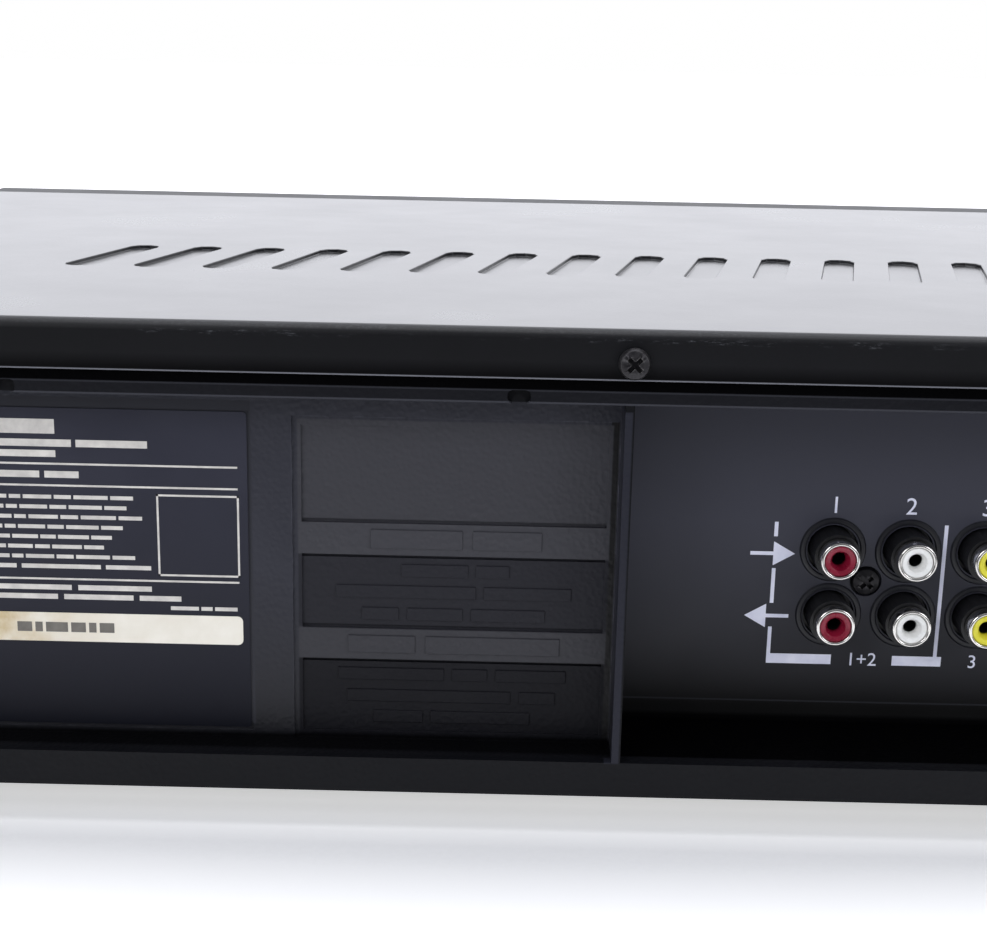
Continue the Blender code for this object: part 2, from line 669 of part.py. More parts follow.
def make_chassis(plastic):
    """The moulded tub: back wall with its jack bay and recesses, sides, and a floor frame."""
    shell = block(
        (-HALF_WIDTH, HALF_WIDTH), (CHASSIS_FRONT_Y, RIM_Y), (FLOOR_Z, FLOOR_Z + SKIRT_GAP_HEIGHT - GAP)
    )
    sides = block(
        (-CHASSIS_HALF, CHASSIS_HALF), (CHASSIS_FRONT_Y, RIM_Y), (FLOOR_Z, FLOOR_Z + SIDE_WALL_HEIGHT)
    )
    back = block(
        (-CHASSIS_HALF, CHASSIS_HALF),
        (BAY_BACK_Y, RIM_Y),
        (FLOOR_Z, TOP_Z - COVER_SHEET - GAP),
        COVER_BACK_RADIUS,
        lambda centre,
        along: centre.z > 0 and abs(along.z) < 0.5 and (abs(along.y) > 0.5 or centre.y > 0),
    )
    tub = block(
        (-INNER_HALF, INNER_HALF),
        (CHASSIS_FRONT_Y + WALL, BAY_BACK_Y),
        (FLOOR_TOP_Z, TOP_Z + OVERRUN),
    )
    front_notch = block(
        (-INNER_HALF, INNER_HALF),
        (CHASSIS_FRONT_Y - OVERRUN, CHASSIS_FRONT_Y + WALL + OVERRUN),
        (FLOOR_Z + LIP_HEIGHT, TOP_Z),
    )
    floor_hole = block(
        (-CHASSIS_HALF + FLOOR_STRIP, CHASSIS_HALF - FLOOR_STRIP),
        (STRIP_FRONT_Y, STRIP_BACK_Y),
        (FLOOR_Z - OVERRUN, FLOOR_TOP_Z + OVERRUN),
    )
    rebate = block(
        (-PLATE_HALF - GAP, PLATE_HALF + GAP),
        (STRIP_FRONT_Y - PLATE_LAP - GAP, STRIP_BACK_Y + PLATE_LAP + GAP),
        (FLOOR_Z - OVERRUN, FLOOR_Z + BOTTOM_SHEET + GAP),
    )
    label_zone = block((RIB_X, LABEL_END_X), (LABEL_Y, REAR_Y + OVERRUN), (LIP_Z, RIM_Z))
    bay = block((BAY_END_X, BAY_X), (BAY_Y, REAR_Y + OVERRUN), (LIP_Z, RIM_Z))
    behind_label = block(
        (RIB_X + WALL, INNER_HALF),
        (BAY_BACK_Y - OVERRUN, LABEL_Y - WALL),
        (FLOOR_TOP_Z, TOP_Z - COVER_SHEET - GAP - WALL),
    )
    above = block(
        (-INNER_HALF, INNER_HALF),
        (BAY_BACK_Y - OVERRUN, RIM_Y - WALL),
        (RIM_Z + WALL, TOP_Z - COVER_SHEET - GAP - WALL),
    )
    collars = [
        tube(
            (x, BAY_Y - GAP, z),
            JACK_HOLE_RADIUS + JACK_COLLAR,
            JACK_HOLE_RADIUS / 2,
            GAP + JACK_COLLAR_HEIGHT,
            MEDIUM,
            (0, 1, 0),
        )
        for _, x, z in rear_jack_places()
    ]
    wall_low, wall_high = BAY_BACK_Y - OVERRUN, BAY_Y + OVERRUN
    jack_holes = prism(
        "Y", [circle((x, z), JACK_HOLE_RADIUS, MEDIUM) for _, x, z in rear_jack_places()],
        wall_low, wall_high,
    )
    tuner_holes = prism(
        "Y",
        [circle((x, z), SOCKET_RADIUS + GAP * 2, MEDIUM) for x, z in antenna_places()]
        + [
            rounded_box(
                switch_place(),
                SWITCH_KNOB_WIDTH + SWITCH_TRAVEL + GAP * 4,
                SWITCH_KNOB_HEIGHT + GAP * 4,
                GAP,
            ),
        ],
        wall_low,
        wall_high,
    )
    screw_z = FLOOR_Z + JACK_SCREW_HEIGHT
    screw_hole = rod(
        (JACK_SCREW_X, wall_low, screw_z),
        SCREW_SHANK_RADIUS + GAP,
        wall_high - wall_low,
        COARSE,
        (0, 1, 0),
    )
    screw_sink = rod(
        (
            JACK_SCREW_X, BAY_Y - JACK_SCREW_SINK, screw_z
        ), SCREW_HEAD_RADIUS + GAP, JACK_SCREW_SINK + OVERRUN, MEDIUM, (0, 1, 0)
    )
    cover_screw_hole = rod(
        (
            COVER_SCREW_X, RIM_Y - WALL - OVERRUN, TOP_Z - COVER_SCREW_DROP
        ), SCREW_SHANK_RADIUS + GAP, WALL + OVERRUN * 2, COARSE, (0, 1, 0)
    )
    gland_hole = rod(
        (
            LABEL_END_X - GLAND_END_MARGIN, LABEL_Y - WALL - OVERRUN, FLOOR_Z + GLAND_HEIGHT
        ), GLAND_RADIUS + GAP, WALL + OVERRUN * 2, MEDIUM, (0, 1, 0)
    )
    label_bottom = LIP_Z + LABEL_LIFT
    label_recess = block(
        (LABEL_X, LABEL_X + LABEL_WIDTH), (
            LABEL_Y - LABEL_RECESS, LABEL_Y + OVERRUN
        ), (label_bottom, label_bottom + LABEL_HEIGHT)
    )
    notches = prism(
        "Y",
        [
            rounded_box(
                (NOTCH_X + side * NOTCH_PITCH, RIM_Z + NOTCH_HEIGHT / 2),
                NOTCH_WIDTH, NOTCH_HEIGHT, NOTCH_HEIGHT / 3,
            )
            for side in (0, 1)
        ],
        RIM_Y - NOTCH_DEPTH,
        RIM_Y + OVERRUN,
    )
    posts = [
        rod((x, y, FLOOR_TOP_Z - GAP), BOSS_RADIUS, DECK_Z - FLOOR_TOP_Z, COARSE)
        for x, y in deck_post_places()
    ]
    bosses = [
        rod((x, y, FLOOR_TOP_Z - GAP), BOSS_RADIUS, BOARD_LIFT, COARSE)
        for x, y in board_boss_places()
    ]
    piece(
        "chassis",
        shell,
        plastic,
        add=(sides, back, *collars),
        cut=(tub, front_notch, floor_hole, rebate, label_zone, bay, behind_label, above),
    )
    cut_more = (
        jack_holes,
        tuner_holes,
        screw_hole,
        screw_sink,
        cover_screw_hole,
        gland_hole,
        label_recess,
        notches,
    )
    combine(shell, make_plaque_cuts() + list(cut_more), "DIFFERENCE")
    combine(shell, posts + bosses, "UNION")


def make_plaque_cuts():
    """The moulded panel between label and rib: a stepped field with two bands between grooves."""
    low_x, high_x = PLAQUE_X, PLAQUE_X + PLAQUE_WIDTH
    top = LIP_Z + PLAQUE_HEIGHT
    outer = block((low_x, high_x), (LABEL_Y - PLAQUE_STEP, LABEL_Y + OVERRUN), (LIP_Z, top))
    inner_x = (low_x + PLAQUE_FRAME, high_x - PLAQUE_FRAME)
    fields = []
    edges = [LIP_Z + PLAQUE_FRAME]
    for band in (LOWER_BAND_HEIGHT, UPPER_BAND_HEIGHT):
        edges += [FLOOR_Z + band, FLOOR_Z + band + BAND_HEIGHT]
    edges.append(top - PLAQUE_FRAME)
    for low, high in zip(edges[0::2], edges[1::2]):
        fields.append(block(inner_x, (LABEL_Y - PLAQUE_STEP * 2, LABEL_Y + OVERRUN), (low, high)))
    grooves = [
        block(
            inner_x,
            (LABEL_Y - PLAQUE_STEP * 3, LABEL_Y + OVERRUN),
            (level - BAND_GROOVE / 2, level + BAND_GROOVE / 2),
        )
        for level in edges[1:-1]
    ]
    return [outer, *fields, *grooves]


def make_bottom_plate(steel):
    """The pressed steel plate under the chassis, with rows of air slots."""
    low_y = STRIP_FRONT_Y - PLATE_LAP
    high_y = STRIP_BACK_Y + PLATE_LAP
    slots = []
    for row in (-1, 1):
        for column in range(VENT_COUNT):
            x = (column - (VENT_COUNT - 1) / 2) * VENT_PITCH
            y = row * VENT_ROW_SPACING / 2
            reach = (VENT_LENGTH - VENT_WIDTH) / 2
            slots.append(slot_outline((x, y - reach), (x, y + reach), VENT_WIDTH / 2, 2))
    piece(
        "bottom_plate",
        block((-PLATE_HALF, PLATE_HALF), (low_y, high_y), (FLOOR_Z, FLOOR_Z + BOTTOM_SHEET)),
        steel,
        cut=(prism("Z", slots, FLOOR_Z - OVERRUN, FLOOR_Z + BOTTOM_SHEET + OVERRUN),),
    )


def make_feet(rubber):
    """Four turned feet with a shallow hollow in the sole."""
    top = FOOT_HEIGHT - GAP
    sole = FOOT_RADIUS * 0.82
    profile = [
        (0, top),
        (FOOT_RADIUS, top),
        (FOOT_RADIUS, top * 0.45),
        (sole, 0),
        (sole * 0.6, 0),
        (sole * 0.5, top * 0.12),
        (0, top * 0.12),
    ]
    strip = (FLOOR_STRIP - PLATE_LAP) / 2
    x = CHASSIS_HALF - strip
    front = CHASSIS_FRONT_Y + strip
    back = STRIP_BACK_Y + PLATE_LAP + strip
    for name, side, y in (
        ("front_left_foot", -1, front),
        ("front_right_foot", 1, front),
        ("rear_left_foot", -1, back),
        ("rear_right_foot", 1, back),
    ):
        piece(name, turned(profile, (side * x, y, 0), MEDIUM), rubber)


def make_top_cover(paint):
    """One folded sheet: top, two sides and a short flange down the back, with pressed beads."""
    front = CHASSIS_FRONT_Y
    low = FLOOR_Z + SKIRT_GAP_HEIGHT

    def upper_edges(centre, along):
        return centre.z > 0 and abs(along.z) < 0.5 and (abs(along.y) > 0.5 or centre.y > 0)

    outer = block(
        (-HALF_WIDTH, HALF_WIDTH), (front, REAR_Y), (low, TOP_Z), COVER_BACK_RADIUS, upper_edges
    )
    inner = block(
        (-HALF_WIDTH + COVER_SHEET, HALF_WIDTH - COVER_SHEET),
        (front - BEAD_SETBACK, REAR_Y - COVER_SHEET),
        (low - OVERRUN, TOP_Z - COVER_SHEET),
        COVER_BACK_RADIUS - COVER_SHEET,
        upper_edges,
    )
    back_cut = block(
        (-HALF_WIDTH + COVER_SHEET, HALF_WIDTH - COVER_SHEET),
        (REAR_Y - COVER_SHEET - OVERRUN, REAR_Y + OVERRUN),
        (low - OVERRUN, TOP_Z - FLANGE_HEIGHT),
    )
    outlines, hollows = [], []
    for count in range(BEAD_COUNT):
        x = (count - (BEAD_COUNT - 1) / 2) * BEAD_PITCH
        y = REAR_Y - BEAD_SETBACK
        reach = (BEAD_LENGTH - BEAD_WIDTH) / 2
        first, last = (x - BEAD_SLANT / 2, y - reach), (x + BEAD_SLANT / 2, y + reach)
        outlines.append(slot_outline(first, last, BEAD_WIDTH / 2 + COVER_SHEET / 2, 4))
        hollows.append(slot_outline(first, last, BEAD_WIDTH / 2 - COVER_SHEET / 2, 4))
    pressed = prism("Z", outlines, TOP_Z - COVER_SHEET - BEAD_DEPTH, TOP_Z - COVER_SHEET / 2)
    sunk = prism("Z", hollows, TOP_Z - BEAD_DEPTH, TOP_Z + OVERRUN)
    screw_hole = rod(
        (
            COVER_SCREW_X, REAR_Y - OVERRUN, TOP_Z - COVER_SCREW_DROP
        ), SCREW_SHANK_RADIUS + GAP, OVERRUN * 2, COARSE, (0, 1, 0)
    )
    cover = piece("top_cover", outer, paint, cut=(inner, back_cut, screw_hole))
    combine(cover, [pressed], "UNION")
    combine(cover, [sunk], "DIFFERENCE")


def screw(name, x, y, z, material):
    """A pan-head screw with a cross recess, its head seated at y and its shank running forward."""
    head = SCREW_HEAD_HEIGHT
    profile = [(SCREW_HEAD_RADIUS * out, head * up) for out, up in SCREW_HEAD_SHARES]
    profile += [
        (SCREW_SHANK_RADIUS, 0),
        (SCREW_SHANK_RADIUS, -SCREW_LENGTH),
        (0, -SCREW_LENGTH),
    ]
    reach, half = SCREW_CROSS / 2, SCREW_CROSS_WIDTH / 2
    cross = [
        (half, half), (half, reach), (-half, reach), (-half, half),
        (-reach, half), (-reach, -half), (-half, -half), (-half, -reach),
        (half, -reach), (half, -half), (reach, -half), (reach, half),
    ]
    piece(
        name,
        turned(profile, (x, y, z), MEDIUM, (0, 1, 0)),
        material,
        cut=(
            prism(
                "Y", [shifted(cross, (x, z), math.radians(45))],
                y + head * SCREW_CROSS_FLOOR_SHARE, y + head + OVERRUN,
            ),
        ),
    )


def make_front_panel(plastic):
    """The bezel: a moulded tray with the cassette slot, window, key holes and jack pocket."""

    def front_edges(centre, along):
        return centre.y < 0 and (abs(along.x) > 0.5 or abs(along.z) > 0.5)

    shell = block(
        (-HALF_WIDTH, HALF_WIDTH), (FRONT_Y, PANEL_BACK_Y), (FLOOR_Z, TOP_Z), PANEL_RADIUS, front_edges
    )
    hollow = block(
        (-HALF_WIDTH + PANEL_WALL, HALF_WIDTH - PANEL_WALL),
        (FRONT_Y + PANEL_WALL, PANEL_BACK_Y + OVERRUN),
        (FLOOR_Z + PANEL_WALL, TOP_Z - PANEL_WALL),
    )
    half_slot = SLOT_WIDTH / 2
    slot = block(
        (-half_slot, half_slot),
        (FRONT_Y - OVERRUN, FRONT_Y + PANEL_WALL + OVERRUN),
        (SLOT_Z, SLOT_TOP_Z),
    )
    groove = block(
        (-HALF_WIDTH - OVERRUN, HALF_WIDTH + OVERRUN),
        (FRONT_Y - OVERRUN, FRONT_Y + PANEL_GROOVE),
        (SLOT_Z - PANEL_WALL - PANEL_GROOVE, SLOT_Z - PANEL_WALL),
    )
    window_z = FLOOR_Z + WINDOW_PLACE_SHARE * BODY_HEIGHT
    window = prism(
        "Y",
        [rounded_box((0, window_z), WINDOW_WIDTH + GAP * 2, WINDOW_HEIGHT + GAP * 2, KEY_CORNER)],
        FRONT_Y - OVERRUN,
        FRONT_Y + WINDOW_THICKNESS + GAP,
    )
    window_ledge = prism(
        "Y",
        [
            rounded_box(
                (0, window_z),
                WINDOW_WIDTH - WINDOW_LEDGE * 2,
                WINDOW_HEIGHT - WINDOW_LEDGE * 2,
                KEY_CORNER,
            ),
        ],
        FRONT_Y - OVERRUN,
        FRONT_Y + PANEL_WALL + OVERRUN,
    )
    key_holes = prism(
        "Y",
        [
            rounded_box((x, z), width + KEY_GAP * 2, height + KEY_GAP * 2, KEY_CORNER + KEY_GAP)
            for _, x, z, width, height in front_key_places()
        ],
        FRONT_Y - OVERRUN,
        FRONT_Y + PANEL_WALL + OVERRUN,
    )
    jack_xs, jack_z = front_jack_xs(), front_jack_z()
    half_pocket = FRONT_JACK_PITCH + FRONT_JACK_MARGIN
    middle = jack_xs[1]
    pocket_wall = block(
        (middle - half_pocket - PANEL_WALL / 2, middle + half_pocket + PANEL_WALL / 2),
        (FRONT_Y + PANEL_WALL / 2, FRONT_Y + FRONT_POCKET_DEPTH + PANEL_WALL / 2),
        (
            jack_z - FRONT_POCKET_HEIGHT / 2 - PANEL_WALL / 2,
            jack_z + FRONT_POCKET_HEIGHT / 2 + PANEL_WALL / 2,
        ),
    )
    pocket = block(
        (middle - half_pocket, middle + half_pocket),
        (FRONT_Y - OVERRUN, FRONT_Y + FRONT_POCKET_DEPTH),
        (jack_z - FRONT_POCKET_HEIGHT / 2, jack_z + FRONT_POCKET_HEIGHT / 2),
    )
    jack_holes = prism(
        "Y", [circle((x, jack_z), SHELL_RADIUS + GAP * 2, MEDIUM) for x in jack_xs],
        FRONT_Y + FRONT_POCKET_DEPTH - OVERRUN, FRONT_Y + FRONT_POCKET_DEPTH + OVERRUN * 2,
    )
    ears, ear_holes = [], []
    for side in (-1, 1):
        near = side * (half_slot + GAP)
        far = near + side * EAR_WIDTH
        ears.append(
            block(
                (min(near, far), max(near, far)),
                (FRONT_Y + PANEL_WALL / 2, DOOR_AXIS_Y + EAR_RADIUS),
                (DOOR_AXIS_Z - EAR_RADIUS, DOOR_AXIS_Z + EAR_RADIUS),
                EAR_RADIUS / 2,
                lambda centre, along: abs(along.x) > 0.5 and centre.y > 0,
            )
        )
        ear_holes.append(
            rod(
                (min(near, far) - OVERRUN, DOOR_AXIS_Y, DOOR_AXIS_Z),
                DOOR_PIN_RADIUS + RUNNING_GAP, EAR_WIDTH + OVERRUN * 2, COARSE, (1, 0, 0),
            )
        )
    panel = piece("front_panel", shell, plastic, cut=(hollow,))
    combine(panel, ears + [pocket_wall], "UNION")
    combine(
        panel, [
            slot, groove, window, window_ledge, key_holes, pocket, jack_holes, *ear_holes
        ], "DIFFERENCE"
    )


def make_display(glass, tube_glass):
    """The tinted window in the bezel and the display tube behind it."""
    z = FLOOR_Z + WINDOW_PLACE_SHARE * BODY_HEIGHT
    outline = rounded_box((0, z), WINDOW_WIDTH, WINDOW_HEIGHT, KEY_CORNER - GAP)
    piece("display_window", prism("Y", [outline], FRONT_Y, FRONT_Y + WINDOW_THICKNESS), glass)
    back = BOARD_FACE_Y - GAP
    tip = rod(
        (TUBE_WIDTH / 2 - GAP, (back + back - TUBE_DEPTH) / 2, z),
        TUBE_DEPTH / 4,
        TUBE_DEPTH,
        COARSE,
        (1, 0, 0),
    )
    piece(
        "display_tube",
        block(
            (-TUBE_WIDTH / 2, TUBE_WIDTH / 2),
            (back - TUBE_DEPTH, back),
            (z - TUBE_HEIGHT / 2, z + TUBE_HEIGHT / 2),
            TUBE_DEPTH / 6, steps=1,
        ),
        tube_glass,
        add=(tip,),
    )


def make_cassette_door(plastic):
    """The flap over the slot, which swings inward on two pins at its top corners."""
    half = SLOT_WIDTH / 2 - RUNNING_GAP
    outer = FRONT_Y + DOOR_INSET
    flap = block(
        (-half, half), (outer, outer + DOOR_THICKNESS), (
            SLOT_Z + RUNNING_GAP, DOOR_AXIS_Z + DOOR_BARREL_RADIUS / 2
        )
    )
    barrel = rod((-half, DOOR_AXIS_Y, DOOR_AXIS_Z), DOOR_BARREL_RADIUS, half * 2, COARSE, (1, 0, 0))
    pins = rod(
        (
            -half - DOOR_PIN_LENGTH, DOOR_AXIS_Y, DOOR_AXIS_Z
        ), DOOR_PIN_RADIUS, (half + DOOR_PIN_LENGTH) * 2, COARSE, (1, 0, 0)
    )
    stiffener = block(
        (-half, half), (outer + DOOR_THICKNESS / 2, DOOR_AXIS_Y), (
            DOOR_AXIS_Z - DOOR_BARREL_RADIUS * 2, DOOR_AXIS_Z
        )
    )
    piece(
        "cassette_door",
        flap,
        plastic,
        add=(stiffener, barrel, pins),
        pivot=(0, DOOR_AXIS_Y, DOOR_AXIS_Z),
    )


def make_keys(plastic):
    """Nine keys, each with a flange behind the bezel and a stem to its switch."""
    back = FRONT_Y + PANEL_WALL + GAP
    switch_face = BOARD_FACE_Y - SWITCH_HEIGHT
    for name, x, z, width, height in front_key_places():
        cap = prism(
            "Y", [
                rounded_box((x, z), width, height, KEY_CORNER)
            ], FRONT_Y - KEY_PROUD, back + KEY_FLANGE_THICKNESS / 2
        )
        flange = block(
            (x - width / 2 - KEY_FLANGE, x + width / 2 + KEY_FLANGE),
            (back, back + KEY_FLANGE_THICKNESS),
            (z - height / 2 - KEY_FLANGE, z + height / 2 + KEY_FLANGE),
        )
        stem_length = switch_face - GAP - KEY_TRAVEL - back
        stem = rod((x, back + GAP, z), KEY_STEM_RADIUS, stem_length - GAP, COARSE, (0, 1, 0))
        piece(name, cap, plastic, add=(flange, stem), pivot=(x, FRONT_Y, z))


def make_front_board(board):
    """The upright board behind the bezel, notched round the cassette slot, with a switch per key."""
    half = HALF_WIDTH - PANEL_WALL - WALL * 2
    low = FLOOR_Z + LIP_HEIGHT + WALL
    shoulder = SLOT_Z - WALL
    high = TOP_Z - PANEL_WALL - WALL * 2
    notch = SLOT_WIDTH / 2 + EAR_WIDTH + WALL
    outline = [
        (-half, low), (half, low), (half, high), (notch, high),
        (notch, shoulder), (-notch, shoulder), (-notch, high), (-half, high),
    ]
    switches = [
        block(
            (x - SWITCH_SIDE / 2, x + SWITCH_SIDE / 2),
            (BOARD_FACE_Y - SWITCH_HEIGHT, BOARD_FACE_Y + GAP),
            (z - SWITCH_SIDE / 2, z + SWITCH_SIDE / 2),
        )
        for _, x, z, _, _ in front_key_places()
    ]
    piece(
        "front_board",
        prism("Y", [outline], BOARD_FACE_Y, BOARD_FACE_Y + BOARD_THICKNESS),
        board,
        add=switches,
    )


def core_profile(reach):
    """The insulating core of a phono jack: a plug hole with a funnel mouth."""
    radius = SHELL_RADIUS - SHELL_WALL - GAP
    tip = reach - CORE_INSET
    return [
        (0, -GAP),
        (radius, -GAP),
        (radius, tip),
        (CORE_HOLE_RADIUS + CORE_FUNNEL / 2, tip),
        (CORE_HOLE_RADIUS, tip - CORE_FUNNEL),
        (CORE_HOLE_RADIUS, tip - CORE_HOLE_DEPTH),
        (0, tip - CORE_HOLE_DEPTH),
    ]


def make_rear_jacks(plastic, metal):
    """The jack block behind the bay wall, with six cores, and the metal shells round them."""
    face = BAY_BACK_Y - GAP
    reach = BAY_Y + SHELL_REACH - face
    low_x = FIRST_JACK_X - (JACK_COLUMNS - 1) * JACK_PITCH_X - JACK_BLOCK_MARGIN
    high_x = FIRST_JACK_X + JACK_BLOCK_MARGIN
    upper = FLOOR_Z + UPPER_JACK_HEIGHT
    body = block(
        (low_x, high_x), (face - JACK_BLOCK_DEPTH + GAP, face), (
            upper - JACK_PITCH_Z - JACK_BLOCK_MARGIN, upper + JACK_BLOCK_MARGIN
        )
    )
    cores = [
        turned(core_profile(reach), (x, face, z), COARSE, (0, 1, 0))
        for _, x, z in rear_jack_places()
    ]
    neck = SHELL_RADIUS - SHELL_NECK
    bore = neck + GAP
    barrels = [
        tube((x, face - GAP, z), bore + BARREL_WALL, bore, reach - SHELL_TIP, MEDIUM, (0, 1, 0))
        for _, x, z in rear_jack_places()
    ]
    thread = rod(
        (JACK_SCREW_X, face - SCREW_LENGTH - GAP, FLOOR_Z + JACK_SCREW_HEIGHT),
        SCREW_SHANK_RADIUS + GAP, SCREW_LENGTH + OVERRUN, COARSE, (0, 1, 0),
    )
    piece("jack_block", body, plastic, add=cores + barrels, cut=(thread,))
    inner = SHELL_RADIUS - SHELL_WALL
    profile = [
        (inner, GAP),
        (neck, GAP),
        (neck, reach - SHELL_TIP),
        (SHELL_RADIUS, reach - SHELL_TIP),
        (SHELL_RADIUS, reach - SHELL_LIP),
        (SHELL_RADIUS - SHELL_LIP / 3, reach - SHELL_LIP / 3),
        (SHELL_RADIUS - SHELL_LIP, reach),
        (inner, reach),
    ]
    for name, x, z in rear_jack_places():
        piece(name, turned(profile, (x, face, z), MEDIUM, (0, 1, 0)), metal)


def make_front_jacks(plastic):
    """The three jacks in the bezel's pocket, moulded as one block on the front board."""
    z = front_jack_z()
    xs = front_jack_xs()
    floor = FRONT_Y + FRONT_POCKET_DEPTH + PANEL_WALL / 2 + GAP
    margin = SHELL_RADIUS + OVERRUN
    plate = block(
        (xs[0] - margin, xs[-1] + margin), (floor, BOARD_FACE_Y - GAP), (z - margin, z + margin)
    )
    reach = floor - (FRONT_Y + FRONT_POCKET_DEPTH - FRONT_JACK_REACH)
    profile = [
        (0, -GAP),
        (SHELL_RADIUS, -GAP),
        (SHELL_RADIUS, reach - SHELL_LIP),
        (SHELL_RADIUS - SHELL_LIP, reach),
        (CORE_HOLE_RADIUS + CORE_FUNNEL / 2, reach),
        (CORE_HOLE_RADIUS, reach - CORE_FUNNEL),
        (CORE_HOLE_RADIUS, GAP),
        (0, GAP),
    ]
    barrels = [turned(profile, (x, floor, z), MEDIUM, (0, -1, 0)) for x in xs]
    piece("front_jack_block", plate, plastic, add=barrels)


def make_tuner(tin, plastic):
    """The screened tuner can with its two antenna sockets, and the channel switch beside them."""
    x = tuner_x()
    back = BAY_BACK_Y - GAP
    half = TUNER_WIDTH / 2
    can = block(
        (x - half, x + half),
        (back - TUNER_DEPTH, back),
        (ON_BOARD_Z, ON_BOARD_Z + TUNER_HEIGHT),
        TUNER_SHELL,
        steps=1,
    )
    reach = BAY_Y + SOCKET_REACH - back
    profile = [
        (0, -GAP),
        (SOCKET_RADIUS, -GAP),
        (SOCKET_RADIUS, reach - SHELL_LIP),
        (SOCKET_RADIUS - SHELL_LIP, reach),
        (SOCKET_BORE, reach),
        (SOCKET_BORE, reach - CORE_HOLE_DEPTH),
        (0, reach - CORE_HOLE_DEPTH),
    ]
    sockets = [turned(profile, (sx, back, sz), MEDIUM, (0, 1, 0)) for sx, sz in antenna_places()]
    switch_x, switch_z = switch_place()
    well = block(
        (switch_x - SWITCH_KNOB_WIDTH - SWITCH_TRAVEL, switch_x + SWITCH_KNOB_WIDTH + SWITCH_TRAVEL),
        (back - SWITCH_KNOB_REACH, back + OVERRUN),
        (switch_z - SWITCH_KNOB_HEIGHT, switch_z + SWITCH_KNOB_HEIGHT),
    )
    piece("tuner_box", can, tin, add=sockets, cut=(well,))
    shoe_half = SWITCH_KNOB_WIDTH / 2 + SWITCH_TRAVEL / 2
    shoe = block(
        (switch_x - shoe_half, switch_x + SWITCH_TRAVEL / 2),
        (back - SWITCH_KNOB_REACH + GAP, back - GAP),
        (switch_z - SWITCH_KNOB_HEIGHT + GAP, switch_z + SWITCH_KNOB_HEIGHT - GAP),
    )
    knob_x = switch_x - SWITCH_TRAVEL / 2
    knob = block(
        (knob_x - SWITCH_KNOB_WIDTH / 2, knob_x + SWITCH_KNOB_WIDTH / 2),
        (back - SWITCH_KNOB_REACH / 2, BAY_Y + SWITCH_KNOB_REACH / 3),
        (switch_z - SWITCH_KNOB_HEIGHT / 2, switch_z + SWITCH_KNOB_HEIGHT / 2),
    )
    piece("channel_switch", shoe, plastic, add=(knob,), pivot=(knob_x, back, switch_z))


def make_cord_gland(rubber):
    """The bush in the back wall with an oval way through for the flat mains cord."""
    x, z = LABEL_END_X - GLAND_END_MARGIN, FLOOR_Z + GLAND_HEIGHT
    profile = [
        (0, -WALL - GLAND_FLANGE_THICKNESS),
        (GLAND_RADIUS, -WALL - GLAND_FLANGE_THICKNESS),
        (GLAND_RADIUS, GAP),
        (GLAND_RADIUS + GLAND_FLANGE, GAP),
        (GLAND_RADIUS + GLAND_FLANGE, GLAND_FLANGE_THICKNESS),
        (GLAND_RADIUS * 0.8, GLAND_REACH),
        (0, GLAND_REACH),
    ]
    reach = (GLAND_SLOT_WIDTH - GLAND_SLOT_HEIGHT) / 2
    way = slot_outline((x - reach, z), (x + reach, z), GLAND_SLOT_HEIGHT / 2, 4)
    piece(
        "cord_gland",
        turned(profile, (x, LABEL_Y, z), MEDIUM, (0, 1, 0)),
        rubber,
        cut=(prism("Y", [way], LABEL_Y - WALL - GLAND_REACH, LABEL_Y + GLAND_REACH + OVERRUN),),
    )


def make_main_board(board, iron, aluminium):
    """The main board on its bosses, with the mains transformer and a finned heat sink on it."""
    half = CHASSIS_HALF - FLOOR_STRIP / 2
    low, high = STRIP_FRONT_Y, STRIP_BACK_Y - GAP
    piece("main_board", block((-half, half), (low, high), (BOARD_Z, BOARD_TOP_Z)), board)

    x, y = SIDE_ROOM_X, TRANSFORMER_DEPTH_SHARE * BODY_DEPTH
    across, deep = TRANSFORMER_WIDTH / 2, TRANSFORMER_DEPTH / 4
    top = ON_BOARD_Z + TRANSFORMER_HEIGHT
    core = block((x - across, x + across), (y - deep, y + deep), (ON_BOARD_Z, top))
    coil = block(
        (x - across + TRANSFORMER_WINDOW, x + across - TRANSFORMER_WINDOW),
        (y - TRANSFORMER_DEPTH / 2, y + TRANSFORMER_DEPTH / 2),
        (ON_BOARD_Z, top - TRANSFORMER_COIL_PROUD),
        TRANSFORMER_COIL_PROUD,
        lambda centre, along: abs(along.z) > 0.5,
    )
    piece("power_transformer", core, iron, add=(coil,))

    y = HEAT_SINK_DEPTH_SHARE * BODY_DEPTH
    left = x - HEAT_SINK_WIDTH / 2
    pitch = (HEAT_SINK_WIDTH - HEAT_SINK_FIN) / (HEAT_SINK_FINS - 1)
    outline = [(left, y), (left + HEAT_SINK_WIDTH, y)]
    for fin in reversed(range(HEAT_SINK_FINS)):
        start = left + fin * pitch
        outline += [
            (start + HEAT_SINK_FIN, y + HEAT_SINK_BASE),
            (start + HEAT_SINK_FIN, y + HEAT_SINK_BASE + HEAT_SINK_FIN_REACH),
            (start, y + HEAT_SINK_BASE + HEAT_SINK_FIN_REACH),
            (start, y + HEAT_SINK_BASE),
        ]
    piece("heat_sink", prism("Z", [outline], ON_BOARD_Z, ON_BOARD_Z + HEAT_SINK_HEIGHT), aluminium)


def guide_path(side):
    """Where a tape guide starts, inside the cassette's mouth, and where it ends, beside the drum."""
    start = (side * GUIDE_START_X, MOUTH_Y - GUIDE_START_INSET)
    end = (side * GUIDE_END_X, DRUM_Y + GUIDE_END_SETBACK)
    return start, end


